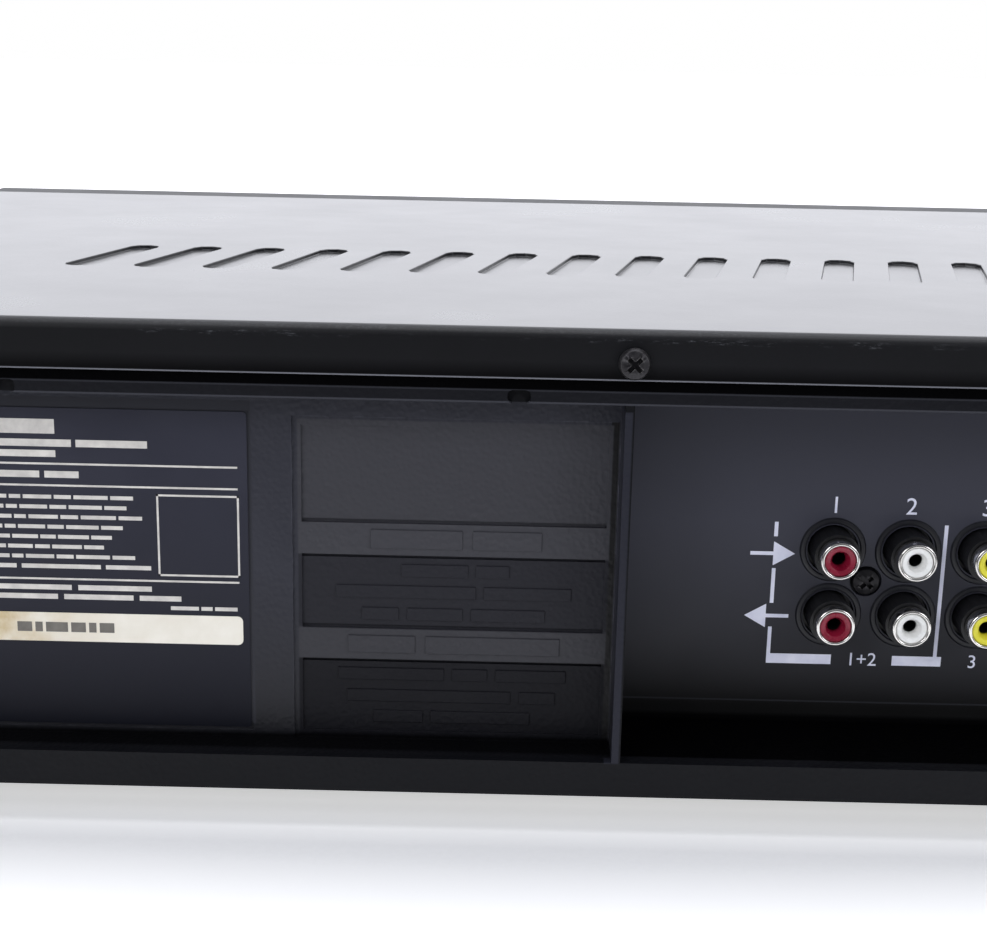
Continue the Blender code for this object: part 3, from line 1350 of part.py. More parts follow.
def make_deck(steel):
    """The deck plate on four posts, with its spindles and the two slots of the tape guides."""
    plate = block((-DECK_HALF_WIDTH, DECK_HALF_WIDTH), (DECK_FRONT_Y, DECK_BACK_Y), (DECK_Z, DECK_TOP_Z))
    reel_top = ON_DECK_Z + REEL_THICKNESS + REEL_HUB_HEIGHT / 2
    spindles = [
        (-REEL_SPACING / 2, REEL_Y, reel_top),
        (REEL_SPACING / 2, REEL_Y, reel_top),
        (0, IDLER_PIVOT_Y, ON_DECK_Z + IDLER_THICKNESS + IDLER_ARM_THICKNESS + GAP * 4),
        (CAM_X, cam_y(), ON_DECK_Z + GEAR_THICKNESS),
        (PINCH_PIVOT_X, PINCH_PIVOT_Y, pinch_arm_z() + PINCH_ARM_THICKNESS + GAP * 2),
    ]
    posts = [
        rod(
            (x, y, DECK_TOP_Z - GAP), SPINDLE_RADIUS, top - DECK_TOP_Z + GAP, COARSE
        ) for x, y, top in spindles
    ]
    ways = [slot_outline(*guide_path(side), GUIDE_TONGUE_RADIUS + RUNNING_GAP, 6) for side in (-1, 1)]
    ways.append(circle((CAPSTAN_X, CAPSTAN_Y), BEARING_RADIUS + GAP, MEDIUM))
    piece(
        "deck_plate", plate, steel, add=posts,
        cut=(prism("Z", ways, DECK_Z - OVERRUN, DECK_TOP_Z + OVERRUN),),
    )


def make_reels(plastic):
    """The two reel tables, each a disc with a splined hub."""
    bore = SPINDLE_RADIUS + RUNNING_GAP
    for name, side in (("supply_reel", -1), ("take_up_reel", 1)):
        at = (side * REEL_SPACING / 2, REEL_Y, ON_DECK_Z)
        hub_top = REEL_THICKNESS + REEL_HUB_HEIGHT
        profile = [
            (bore, 0),
            (REEL_RADIUS, 0),
            (REEL_RADIUS, REEL_THICKNESS),
            (REEL_HUB_RADIUS, REEL_THICKNESS),
            (REEL_HUB_RADIUS, hub_top - REEL_SPLINE),
            (REEL_HUB_RADIUS / 2 + bore / 2, hub_top),
            (bore, hub_top),
        ]
        splines = []
        for count in range(REEL_SPLINES):
            turn = math.tau * count / REEL_SPLINES
            half = REEL_SPLINE / 2
            outline = [
                (REEL_HUB_RADIUS - half, -half), (REEL_HUB_RADIUS + REEL_SPLINE, -half),
                (REEL_HUB_RADIUS + REEL_SPLINE, half), (REEL_HUB_RADIUS - half, half),
            ]
            splines.append(
                prism(
                    "Z",
                    [shifted(outline, at[:2], turn)],
                    at[2] + REEL_THICKNESS - GAP,
                    at[2] + hub_top - REEL_SPLINE * 2,
                )
            )
        piece(name, turned(profile, at, FINE, (0, 0, 1)), plastic, add=splines, pivot=at)


def make_idler(steel, rubber):
    """The swinging arm between the reels, and the tyred wheel that drives one or the other."""
    wheel_at = (0, REEL_Y, ON_DECK_Z)
    spindle = SPINDLE_RADIUS * 0.75
    piece(
        "idler_wheel",
        tube(wheel_at, IDLER_RADIUS, spindle + RUNNING_GAP, IDLER_THICKNESS, FINE),
        rubber,
        pivot=wheel_at,
    )
    low = ON_DECK_Z + IDLER_THICKNESS + GAP * 2
    arm = prism(
        "Z",
        [slot_outline((0, IDLER_PIVOT_Y), (0, REEL_Y), IDLER_ARM_WIDTH / 2, 6)],
        low, low + IDLER_ARM_THICKNESS,
    )
    pivot_hole = rod(
        (0, IDLER_PIVOT_Y, low - OVERRUN),
        SPINDLE_RADIUS + RUNNING_GAP,
        IDLER_ARM_THICKNESS + OVERRUN * 2,
        COARSE,
    )
    stub = rod((0, REEL_Y, ON_DECK_Z + GAP), spindle, IDLER_THICKNESS + GAP * 2, COARSE)
    piece("idler_arm", arm, steel, add=(stub,), cut=(pivot_hole,), pivot=(0, IDLER_PIVOT_Y, low))


def make_drum(aluminium):
    """The tilted head drum: a fixed lower half on a wedge foot, and the spinning upper half."""
    lean = Vector((0, math.sin(DRUM_TILT), math.cos(DRUM_TILT)))
    foot_at = Vector((0, DRUM_Y, ON_DECK_Z))
    seat = foot_at + Vector((0, 0, DRUM_FOOT_HEIGHT))
    foot = rod(foot_at, DRUM_RADIUS - DRUM_FOOT_HEIGHT, DRUM_FOOT_HEIGHT * 2, FINE)
    lower = rod(seat, DRUM_RADIUS, DRUM_HALF_HEIGHT, FINE, lean)
    shaft_top = DRUM_HALF_HEIGHT * 1.6
    shaft = rod(seat, DRUM_SHAFT_RADIUS, shaft_top, MEDIUM, lean)
    piece("drum_base", lower, aluminium, add=(foot, shaft))

    at = seat + lean * (DRUM_HALF_HEIGHT + DRUM_SLIT)
    bore = DRUM_SHAFT_RADIUS + RUNNING_GAP
    chamfer = DRUM_SLIT * 2
    profile = [
        (bore, 0),
        (DRUM_RADIUS, 0),
        (DRUM_RADIUS, DRUM_HALF_HEIGHT - chamfer),
        (DRUM_RADIUS - chamfer, DRUM_HALF_HEIGHT),
        (DRUM_RADIUS * 0.82, DRUM_HALF_HEIGHT),
        (DRUM_RADIUS * 0.78, DRUM_HALF_HEIGHT * 0.75),
        (DRUM_SHAFT_RADIUS * 2.4, DRUM_HALF_HEIGHT * 0.75),
        (DRUM_SHAFT_RADIUS * 2.4, DRUM_HALF_HEIGHT),
        (bore, DRUM_HALF_HEIGHT),
    ]
    turn = Vector((0, 0, 1)).rotation_difference(lean).to_matrix()
    notches = []
    for count in range(HEAD_NOTCHES):
        angle = math.tau * (count + 0.5) / HEAD_NOTCHES
        out = turn @ Vector((math.cos(angle), math.sin(angle), 0))
        start = at + out * (DRUM_RADIUS - HEAD_NOTCH_DEPTH) - lean * OVERRUN
        notches.append(rod(start, HEAD_NOTCH_WIDTH / 2, OVERRUN + HEAD_NOTCH_WIDTH / 2, COARSE, lean))
    piece("drum_rotor", turned(profile, at, FINE, lean), aluminium, cut=notches, pivot=at)


def make_capstan(steel, board):
    """The capstan's fixed stator with its bearing, and the flywheel and shaft that turn in it."""
    x, y = CAPSTAN_X, CAPSTAN_Y
    stator_top = DECK_Z - GAP
    stator_low = stator_top - STATOR_THICKNESS
    half = STATOR_SIDE / 2
    plate = block((x - half, x + half), (y - half, y + half), (stator_low, stator_top))
    bearing_top = DECK_TOP_Z + BEARING_HEIGHT
    bearing = rod((x, y, stator_low + GAP), BEARING_RADIUS, bearing_top - stator_low - GAP, MEDIUM)
    bore = rod(
        (x, y, stator_low - OVERRUN),
        CAPSTAN_RADIUS + RUNNING_GAP,
        bearing_top - stator_low + OVERRUN * 2,
        COARSE,
    )
    piece("capstan_motor", plate, board, add=(bearing,), cut=(bore,))
    top = stator_low - RUNNING_GAP
    wheel_low = top - FLYWHEEL_THICKNESS
    shaft_top = DECK_TOP_Z + CAPSTAN_HEIGHT - wheel_low
    profile = [
        (0, 0),
        (FLYWHEEL_RADIUS * 0.5, 0),
        (FLYWHEEL_RADIUS * 0.5, FLYWHEEL_THICKNESS * 0.3),
        (FLYWHEEL_RADIUS * 0.8, FLYWHEEL_THICKNESS * 0.3),
        (FLYWHEEL_RADIUS * 0.8, 0),
        (FLYWHEEL_RADIUS, 0),
        (FLYWHEEL_RADIUS, FLYWHEEL_THICKNESS),
        (CAPSTAN_RADIUS, FLYWHEEL_THICKNESS),
        (CAPSTAN_RADIUS, shaft_top),
        (0, shaft_top),
    ]
    at = (x, y, wheel_low)
    piece("capstan", turned(profile, at, MEDIUM), steel, pivot=at)


def pinch_arm_z():
    return DECK_TOP_Z + BEARING_HEIGHT + GAP * 4


def pinch_roller_place():
    return (
        PINCH_PIVOT_X + PINCH_ARM_LENGTH * math.cos(PINCH_REST),
        PINCH_PIVOT_Y + PINCH_ARM_LENGTH * math.sin(PINCH_REST),
    )


def make_pinch_roller(steel, rubber):
    """The arm that swings the rubber roller against the capstan."""
    pivot = (PINCH_PIVOT_X, PINCH_PIVOT_Y)
    end = pinch_roller_place()
    low = pinch_arm_z()
    arm = prism("Z", [slot_outline(pivot, end, PINCH_ARM_WIDTH / 2, 6)], low, low + PINCH_ARM_THICKNESS)
    boss_low = ON_DECK_Z
    boss = rod((*pivot, boss_low), PINCH_ARM_WIDTH / 2, low - boss_low + GAP, MEDIUM)
    bore = rod((*pivot, boss_low - OVERRUN), SPINDLE_RADIUS + RUNNING_GAP, PINCH_HEIGHT + OVERRUN, COARSE)
    roller_low = low + PINCH_ARM_THICKNESS + GAP
    spindle = rod(
        (*end, low + GAP), PINCH_SPINDLE_RADIUS, PINCH_ARM_THICKNESS + PINCH_HEIGHT + GAP * 4, COARSE
    )
    piece("pinch_arm", arm, steel, add=(boss, spindle), cut=(bore,), pivot=(*pivot, low))
    at = (*end, roller_low)
    bore_radius = PINCH_SPINDLE_RADIUS + RUNNING_GAP
    piece("pinch_roller", tube(at, PINCH_RADIUS, bore_radius, PINCH_HEIGHT, MEDIUM), rubber, pivot=at)


def cam_y():
    return DRUM_Y + GUIDE_END_SETBACK / 4


def make_loading_train(plastic, motor_metal, steel):
    """The loading motor, its pinion and the cam gear that draws the tape guides round."""
    cam_at = (CAM_X, cam_y(), ON_DECK_Z)
    spread = GEAR_MODULE * (CAM_TEETH + PINION_TEETH) / 2
    pinion_at = (CAM_X, cam_y() - spread, ON_DECK_Z)
    bore = rod(
        (cam_at[0], cam_at[1], cam_at[2] - OVERRUN),
        SPINDLE_RADIUS + RUNNING_GAP,
        GEAR_THICKNESS + OVERRUN * 2,
        COARSE,
    )
    pitch = CAM_TEETH * GEAR_MODULE / 2
    lightening = [
        rod(
            (
                cam_at[0] + pitch * 0.6 * math.cos(turn),
                cam_at[1] + pitch * 0.6 * math.sin(turn),
                cam_at[2] + GEAR_THICKNESS * 0.5,
            ),
            pitch * 0.18, GEAR_THICKNESS, COARSE,
        )
        for turn in [math.tau * count / 5 for count in range(5)]
    ]
    cam = prism(
        "Z",
        [shifted(gear_outline(CAM_TEETH, GEAR_MODULE), cam_at[:2], -math.pi / 2)],
        cam_at[2],
        cam_at[2] + GEAR_THICKNESS,
    )
    piece("cam_gear", cam, plastic, cut=(bore, *lightening), pivot=cam_at)

    half_tooth = math.pi / PINION_TEETH
    pinion = prism(
        "Z", [shifted(gear_outline(PINION_TEETH, GEAR_MODULE), pinion_at[:2], math.pi / 2 + half_tooth)],
        pinion_at[2], pinion_at[2] + GEAR_THICKNESS,
    )
    motor_low = ON_DECK_Z + GEAR_THICKNESS + OVERRUN
    shaft = rod(
        (*pinion_at[:2], pinion_at[2] + GAP),
        MOTOR_SHAFT_RADIUS,
        motor_low + OVERRUN - pinion_at[2],
        COARSE,
    )
    piece("loading_pinion", pinion, steel, add=(shaft,), pivot=pinion_at)

    body = rod((*pinion_at[:2], motor_low), LOADING_MOTOR_RADIUS, LOADING_MOTOR_HEIGHT, MEDIUM)
    socket = rod(
        (*pinion_at[:2], motor_low - OVERRUN), MOTOR_SHAFT_RADIUS + RUNNING_GAP, OVERRUN * 3, COARSE
    )
    side = CAM_X - LOADING_MOTOR_RADIUS
    leg = block(
        (side - CARRIAGE_SHEET, side + CARRIAGE_SHEET),
        (pinion_at[1] - LOADING_MOTOR_RADIUS, pinion_at[1]),
        (ON_DECK_Z, motor_low + LOADING_MOTOR_HEIGHT),
    )
    foot = block(
        (side - LOADING_MOTOR_RADIUS, side + CARRIAGE_SHEET),
        (pinion_at[1] - LOADING_MOTOR_RADIUS, pinion_at[1]),
        (ON_DECK_Z, ON_DECK_Z + CARRIAGE_SHEET),
    )
    piece("loading_motor", body, motor_metal, add=(leg, foot), cut=(socket,))


def make_guides(brass):
    """The two tape guides: a shoe on the deck, a tongue in its slot and an upright roller."""
    for name, side in (("supply_guide", -1), ("take_up_guide", 1)):
        x, y = guide_path(side)[0]
        roller = GUIDE_ROLLER_RADIUS
        tongue = DECK_SHEET
        profile = [
            (0, -tongue),
            (GUIDE_TONGUE_RADIUS, -tongue),
            (GUIDE_TONGUE_RADIUS, 0),
            (GUIDE_BASE_RADIUS, 0),
            (GUIDE_BASE_RADIUS, GUIDE_BASE_HEIGHT),
            (roller * 0.6, GUIDE_BASE_HEIGHT),
            (roller * 0.6, GUIDE_BASE_HEIGHT + roller / 2),
            (roller, GUIDE_BASE_HEIGHT + roller / 2),
            (roller, GUIDE_HEIGHT - roller / 2),
            (roller * 0.6, GUIDE_HEIGHT),
            (0, GUIDE_HEIGHT),
        ]
        piece(name, turned(profile, (x, y, ON_DECK_Z), COARSE), brass, pivot=(x, y, ON_DECK_Z))


def make_control_head(metal):
    """The sound and control head on its foot, between the drum and the pinch roller's arm."""
    y = DRUM_Y
    half_x, half_y = HEAD_BLOCK_WIDTH / 2, HEAD_BLOCK_DEPTH / 2
    low = ON_DECK_Z + HEAD_BLOCK_FOOT - GAP
    head = block(
        (HEAD_BLOCK_X - half_x, HEAD_BLOCK_X + half_x),
        (y - half_y, y + half_y),
        (low, ON_DECK_Z + HEAD_BLOCK_HEIGHT),
        half_x / 2, lambda centre, along: abs(along.z) > 0.5 and centre.x < 0,
    )
    foot = block(
        (
            HEAD_BLOCK_X - half_x, HEAD_BLOCK_X + HEAD_BLOCK_DEPTH
        ), (y - half_y, y + half_y), (ON_DECK_Z, ON_DECK_Z + HEAD_BLOCK_FOOT)
    )
    piece("control_head", head, metal, add=(foot,))


def carriage_xs(side, near, thickness):
    """The pair of x bounds of an upright sheet on one side of the carriage."""
    return tuple(sorted((side * near, side * (near + thickness))))


def gear_carrier_place():
    """The middle of the gear that drives the rack, below the right-hand slider."""
    pitch = CARRIAGE_GEAR_TEETH * RACK_MODULE / 2
    y = HOLDER_FRONT_Y + RACK_END
    return y, rack_z() - pitch


def rack_z():
    """The pitch line of the rack, under the slider's foot."""
    return PIN_Z - CARRIAGE_DROP - PIN_RADIUS - SLIDER_FOOT


def make_carriage_brackets(steel):
    """The two uprights with the path that the holder's pins follow: in, then down."""
    slot = PIN_RADIUS + PIN_SLOT_GAP
    front, back = PIN_YS
    low_y = front - CARRIAGE_TRAVEL - BRACKET_MARGIN
    high_y = back + BRACKET_MARGIN
    gear_y, gear_z = gear_carrier_place()
    for name, side in (("left_carriage_bracket", -1), ("right_carriage_bracket", 1)):
        x = carriage_xs(side, BRACKET_FACE_X, CARRIAGE_SHEET)
        upright = block(x, (low_y, high_y), (ON_DECK_Z, ON_DECK_Z + BRACKET_HEIGHT))
        flange = block(
            carriage_xs(side, BRACKET_FACE_X - BRACKET_FLANGE, BRACKET_FLANGE + CARRIAGE_SHEET),
            (low_y, high_y), (ON_DECK_Z, ON_DECK_Z + CARRIAGE_SHEET),
        )
        cuts = [
            block(
                (x[0] - OVERRUN, x[1] + OVERRUN),
                (front - CARRIAGE_TRAVEL - slot, back + slot),
                (PIN_Z - slot, PIN_Z + slot),
            )
        ]
        for y in PIN_YS:
            cuts.append(
                block(
                    (x[0] - OVERRUN, x[1] + OVERRUN),
                    (y - slot, y + slot),
                    (PIN_Z - CARRIAGE_DROP - slot, PIN_Z),
                )
            )
        add = [flange]
        if side > 0:
            add.append(
                rod(
                    (x[0] + GAP, gear_y, gear_z), SPINDLE_RADIUS * 0.75,
                    CARRIAGE_SHEET + SLIDER_GAP + CARRIAGE_GEAR_THICKNESS + GAP, COARSE, (1, 0, 0),
                )
            )
        piece(name, upright, steel, add=add, cut=cuts)


def make_sliders(plastic):
    """The sliders outside the brackets, which push the pins. The right one has a rack below."""
    slot = PIN_RADIUS + PIN_SLOT_GAP
    middle = sum(PIN_YS) / 2
    low_y, high_y = middle - SLIDER_DEPTH / 2, middle + SLIDER_DEPTH / 2
    low_z = rack_z() - TOOTH_SHARES[0][1] * RACK_MODULE
    near = BRACKET_FACE_X + CARRIAGE_SHEET + SLIDER_GAP
    pitch = math.pi * RACK_MODULE
    gear_y = gear_carrier_place()[0]
    for name, side in (("left_slider", -1), ("right_slider", 1)):
        x = carriage_xs(side, near, CARRIAGE_SHEET)
        plate = block(x, (low_y, high_y), (low_z, PIN_Z + SLIDER_HEAD))
        cuts = [
            block(
                (x[0] - OVERRUN, x[1] + OVERRUN),
                (y - slot, y + slot),
                (PIN_Z - CARRIAGE_DROP - slot, PIN_Z + slot),
            )
            for y in PIN_YS
        ]
        add = []
        if side > 0:
            teeth = int((high_y - low_y) / pitch) - 1
            first = low_y + pitch
            offset = (gear_y + pitch / 2 - first) % pitch
            outline = [(low_y, low_z + GAP), (low_y, low_z)]
            for tooth in range(teeth):
                y = first + offset + tooth * pitch
                outline += [
                    (y + share * pitch, rack_z() - height_share * RACK_MODULE)
                    for share, height_share in TOOTH_SHARES
                ]
            outline += [(high_y, low_z), (high_y, low_z + GAP)]
            add.append(prism("X", [outline], *x))
        piece(name, plate, plastic, add=add, cut=cuts, pivot=(x[0], middle, PIN_Z))


def make_carriage_gear(plastic):
    """The gear on the right-hand bracket that drives the rack."""
    y, z = gear_carrier_place()
    low = BRACKET_FACE_X + CARRIAGE_SHEET + SLIDER_GAP
    bore = rod(
        (low - OVERRUN, y, z),
        SPINDLE_RADIUS * 0.75 + RUNNING_GAP,
        CARRIAGE_GEAR_THICKNESS + OVERRUN * 2,
        COARSE,
        (1, 0, 0),
    )
    outline = shifted(gear_outline(CARRIAGE_GEAR_TEETH, RACK_MODULE), (y, z), math.pi / 2)
    gear = prism("X", [outline], low, low + CARRIAGE_GEAR_THICKNESS)
    piece("carriage_gear", gear, plastic, cut=(bore,), pivot=(low, y, z))


def make_holder(steel):
    """The cassette's cage: a top plate, two sides with ledges, and four pins."""
    inner, outer = HOLDER_HALF, HOLDER_HALF + CARRIAGE_SHEET
    low = HOLDER_Z - CARRIAGE_SHEET
    y = (HOLDER_FRONT_Y, MOUTH_Y)
    cage = block((-outer, outer), y, (low, HOLDER_TOP_Z + CARRIAGE_SHEET))
    room = block((-inner, inner), (y[0] - OVERRUN, y[1] + OVERRUN), (HOLDER_Z, HOLDER_TOP_Z))
    bottom = block(
        (-inner + HOLDER_LEDGE, inner - HOLDER_LEDGE),
        (y[0] - OVERRUN, y[1] + OVERRUN),
        (low - OVERRUN, HOLDER_Z + OVERRUN),
    )
    reach = BRACKET_FACE_X + CARRIAGE_SHEET * 2 + SLIDER_GAP + GAP
    pins = []
    for side in (-1, 1):
        for pin_y in PIN_YS:
            start = min(side * (inner + GAP), side * reach)
            pins.append(rod((start, pin_y, PIN_Z), PIN_RADIUS, reach - inner - GAP, COARSE, (1, 0, 0)))
    windows = prism(
        "Z",
        [
            rounded_box(
                (side * HOLDER_HALF / 2, sum(y) / 2),
                HOLDER_HALF * HOLDER_WINDOW_WIDTH_SHARE, HOLDER_DEPTH * HOLDER_WINDOW_DEPTH_SHARE,
                HOLDER_WINDOW_CORNER,
            )
            for side in (-1, 1)
        ],
        HOLDER_TOP_Z - OVERRUN, HOLDER_TOP_Z + CARRIAGE_SHEET + OVERRUN,
    )
    holder = piece(
        "cassette_holder", cage, steel, cut=(room, bottom, windows), pivot=(0, HOLDER_FRONT_Y, HOLDER_Z)
    )
    combine(holder, pins, "UNION")


def main():
    clear_scene()
    black_plastic = finish("black_plastic", (0.030, 0.031, 0.036), 0.5)
    bezel_plastic = finish("bezel_plastic", (0.020, 0.020, 0.023), 0.4)
    key_plastic = finish("key_plastic", (0.045, 0.046, 0.050), 0.35)
    jack_plastic = finish("jack_plastic", (0.012, 0.012, 0.013), 0.4)
    black_paint = finish("black_paint", (0.014, 0.015, 0.017), 0.35)
    zinc_steel = finish("zinc_steel", (0.55, 0.56, 0.55), 0.4, 1.0)
    bright_metal = finish("bright_metal", (0.75, 0.74, 0.71), 0.2, 1.0)
    black_screw = finish("black_screw", (0.02, 0.02, 0.022), 0.25, 1.0)
    rubber = finish("rubber", (0.02, 0.02, 0.02), 0.8)
    smoked = finish("smoked_window", (0.01, 0.01, 0.012), 0.05)
    display_glass = finish("display_glass", (0.10, 0.14, 0.13), 0.1)
    green_board = finish("green_board", (0.02, 0.09, 0.04), 0.5)
    brown_board = finish("brown_board", (0.20, 0.11, 0.04), 0.6)
    iron = finish("transformer_iron", (0.10, 0.09, 0.08), 0.6, 0.5)
    aluminium = finish("aluminium", (0.66, 0.67, 0.68), 0.3, 1.0)
    grey_nylon = finish("grey_nylon", (0.45, 0.45, 0.43), 0.5)
    brass = finish("brass", (0.60, 0.45, 0.20), 0.3, 1.0)

    make_chassis(black_plastic)
    make_bottom_plate(zinc_steel)
    make_feet(rubber)
    make_top_cover(black_paint)
    screw("cover_screw", COVER_SCREW_X, REAR_Y + GAP, TOP_Z - COVER_SCREW_DROP, black_screw)
    make_front_panel(bezel_plastic)
    make_display(smoked, display_glass)
    make_cassette_door(bezel_plastic)
    make_keys(key_plastic)
    make_front_board(brown_board)
    make_front_jacks(jack_plastic)

    make_rear_jacks(jack_plastic, bright_metal)
    screw(
        "jack_screw",
        JACK_SCREW_X,
        BAY_Y - JACK_SCREW_SINK + GAP,
        FLOOR_Z + JACK_SCREW_HEIGHT,
        black_screw,
    )
    make_tuner(bright_metal, key_plastic)
    make_cord_gland(rubber)
    make_main_board(green_board, iron, aluminium)

    make_deck(zinc_steel)
    make_reels(grey_nylon)
    make_idler(zinc_steel, rubber)
    make_drum(aluminium)
    make_capstan(bright_metal, green_board)
    make_pinch_roller(zinc_steel, rubber)
    make_loading_train(grey_nylon, bright_metal, brass)
    make_guides(brass)
    make_control_head(bright_metal)
    make_carriage_brackets(zinc_steel)
    make_sliders(grey_nylon)
    make_carriage_gear(grey_nylon)
    make_holder(zinc_steel)


main()
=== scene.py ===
import json
import math

import bpy
from mathutils import Matrix, Vector

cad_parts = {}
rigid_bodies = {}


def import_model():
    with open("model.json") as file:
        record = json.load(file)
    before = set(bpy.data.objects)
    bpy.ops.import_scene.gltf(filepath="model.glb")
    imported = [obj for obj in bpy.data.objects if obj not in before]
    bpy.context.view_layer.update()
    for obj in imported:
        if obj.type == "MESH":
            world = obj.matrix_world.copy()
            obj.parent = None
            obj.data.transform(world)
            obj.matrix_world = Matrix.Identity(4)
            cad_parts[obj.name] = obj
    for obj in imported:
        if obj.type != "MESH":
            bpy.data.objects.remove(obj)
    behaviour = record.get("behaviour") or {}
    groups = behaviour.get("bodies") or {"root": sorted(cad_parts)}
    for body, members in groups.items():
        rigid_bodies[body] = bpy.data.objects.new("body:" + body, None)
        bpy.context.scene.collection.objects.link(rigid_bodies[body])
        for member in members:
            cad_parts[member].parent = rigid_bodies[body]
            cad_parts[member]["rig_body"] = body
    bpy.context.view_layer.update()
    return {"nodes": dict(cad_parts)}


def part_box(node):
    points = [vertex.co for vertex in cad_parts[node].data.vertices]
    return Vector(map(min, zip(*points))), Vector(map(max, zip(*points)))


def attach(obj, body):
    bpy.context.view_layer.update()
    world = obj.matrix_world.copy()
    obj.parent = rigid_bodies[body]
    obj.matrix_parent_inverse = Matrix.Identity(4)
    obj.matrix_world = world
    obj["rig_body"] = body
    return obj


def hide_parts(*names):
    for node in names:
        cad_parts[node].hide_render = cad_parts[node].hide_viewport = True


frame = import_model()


# Camera
# It stands behind the machine, a little above the cover and left of the jacks, and looks down at the back.
eye = bpy.data.cameras.new("eye")
eye.sensor_width = 36.0
eye.lens = 59.584
eye.clip_start = 0.01
eye.clip_end = 60.0
camera = bpy.data.objects.new("camera", eye)
camera.location = (0.009, 0.45101, 0.155435)
camera.rotation_euler = (math.radians(75.4448), math.radians(-1.1672), math.radians(-179.4324))
bpy.context.scene.collection.objects.link(camera)
bpy.context.scene.camera = camera
bpy.context.scene.view_settings.view_transform = "Standard"


# Studio
# A pale sweep of board on the table, an even grey room and three large soft lamps: one overhead and one on
# each side of the photographer. The camera and glass see the room as white, and glossy faces see it bright
# beyond the machine and dark on the camera's side.
def opened(nodes):
    """Empties a node tree, and makes it the one that the helpers below work in."""
    global tree
    tree = nodes
    tree.nodes.clear()


def out(value):
    """A node's first output. Anything else stays as it is."""
    return value.outputs[0] if isinstance(value, bpy.types.Node) else value


def feed(socket, value):
    """Sets a socket to a value, or wires a node or an output to it."""
    value = out(value)
    if isinstance(value, bpy.types.NodeSocket):
        tree.links.new(value, socket)
    else:
        socket.default_value = value


def node(kind, inputs=(), **settings):
    """A shader node. Its inputs are given as values, or as the nodes or outputs that feed them."""
    made = tree.nodes.new("ShaderNode" + kind)
    for name, value in settings.items():
        setattr(made, name, value)
    for key, value in dict(inputs).items():
        feed(made.inputs[key], value)
    return made


def calc(kind, *terms, clamp=False):
    """One step of arithmetic on numbers."""
    return node("Math", dict(enumerate(terms)), operation=kind, use_clamp=clamp)


def vectors(kind, *terms):
    """One step of arithmetic on vectors."""
    return node("VectorMath", dict(enumerate(terms)), operation=kind)


def ramp(value, start, end, low=0.0, high=1.0, ease="LINEAR"):
    """A number that goes from low to high while another goes from start to end."""
    ends = {"From Min": start, "From Max": end, "To Min": low, "To Max": high}
    return node("MapRange", {"Value": value, **ends}, interpolation_type=ease)


def size_along(vector, axis):
    """A vector's size along one axis."""
    return node("SeparateXYZ", {0: vector}).outputs[axis]


def spot():
    """The place on the object, in its own frame."""
    return node("TexCoord").outputs["Object"]


def noise(scale, detail=2.0, rough=0.5, place=None):
    """A cloudy number that follows the place on the object."""
    where = spot() if place is None else place
    return node("TexNoise", {"Vector": where, "Scale": scale, "Detail": detail, "Roughness": rough})


room = bpy.data.worlds.new("room")
room.use_nodes = True
bpy.context.scene.world = room
opened(room.node_tree)
way = node("SeparateXYZ", {0: node("TexCoord").outputs["Generated"]}).outputs
low = ramp(way["Z"], 0.22, 0.65, 1.25, 0.9, "SMOOTHSTEP")
facing = ramp(way["Y"], 0.1, 0.75, low, 0.16, "SMOOTHSTEP")
ray = node("LightPath").outputs
seen = calc("MAXIMUM", ray["Is Camera Ray"], ray["Is Transmission Ray"])
even = node("Background", {"Color": (0.88, 0.91, 1.0, 1.0), "Strength": 0.66})
mirror = node("Background", {"Color": (0.93, 0.94, 1.0, 1.0), "Strength": facing})
white = node("Background", {"Color": (1, 1, 1, 1), "Strength": 1.0})
lit = node("MixShader", {0: ray["Is Glossy Ray"], 1: even, 2: mirror})
node("OutputWorld", {"Surface": node("MixShader", {0: seen, 1: lit, 2: white})})


def soft_lamp(name, place, towards, size, power, gloss=1.0):
    """A square lamp with a cloth in front, turned towards a point."""
    data = bpy.data.lights.new(name, "AREA")
    data.size = size
    data.energy = power
    data.color = (0.96, 0.965, 1.0)
    data.specular_factor = gloss
    lamp = bpy.data.objects.new(name, data)
    lamp.location = place
    lamp.rotation_euler = (Vector(towards) - Vector(place)).to_track_quat("-Z", "Y").to_euler()
    bpy.context.scene.collection.objects.link(lamp)


soft_lamp("overhead_lamp", (0.0, -0.10, 1.9), (0, 0, 0.05), 1.5, 17.0)
soft_lamp("left_lamp", (1.3, 1.5, 1.1), (0, 0.1, 0.05), 0.9, 11.0, 0.5)
soft_lamp("right_lamp", (-1.6, 1.2, 0.9), (0, 0.1, 0.05), 0.9, 9.0, 0.5)

bpy.ops.object.select_all(action="DESELECT")
bpy.ops.mesh.primitive_grid_add(x_subdivisions=8, y_subdivisions=8, size=30.0, location=(0, 0, -0.0004))
board = bpy.context.object
board.name = "table_board"
board.data.transform(board.matrix_world)
board.matrix_world.identity()
card = bpy.data.materials.new("white_card")
card.use_nodes = True
opened(card.node_tree)
place = spot()
tint = ramp(noise(900.0, 3.0), 0.0, 1.0, 0.85, 0.90)
depth = size_along(place, "Y")
across = calc("ABSOLUTE", size_along(place, "X"))
far = vectors("LENGTH", vectors("MULTIPLY", place, (0.35, 1.0, 1.0))).outputs["Value"]
glare = ramp(far, 0.155, 0.225, 0.08, 0.72)
ray = node("LightPath").outputs
# Painted reflection: glossy rays see the floor between the machine and the camera as near black and without
# its glow.
unlit = calc("MULTIPLY", ray["Is Glossy Ray"], ramp(depth, 0.17, 0.36, ease="SMOOTHSTEP"))
seen = calc("MAXIMUM", ray["Is Camera Ray"], ray["Is Glossy Ray"])
seen = calc("SUBTRACT", calc("MAXIMUM", seen, ray["Is Transmission Ray"]), unlit)
# Painted light: a glow on the floor under the back edge of the machine, behind its middle, that lightens the
# cast shadow there.
contact_glow = calc("MULTIPLY", ramp(depth, 0.130, 0.150, 0.47, 0.0), ramp(depth, 0.100, 0.125))
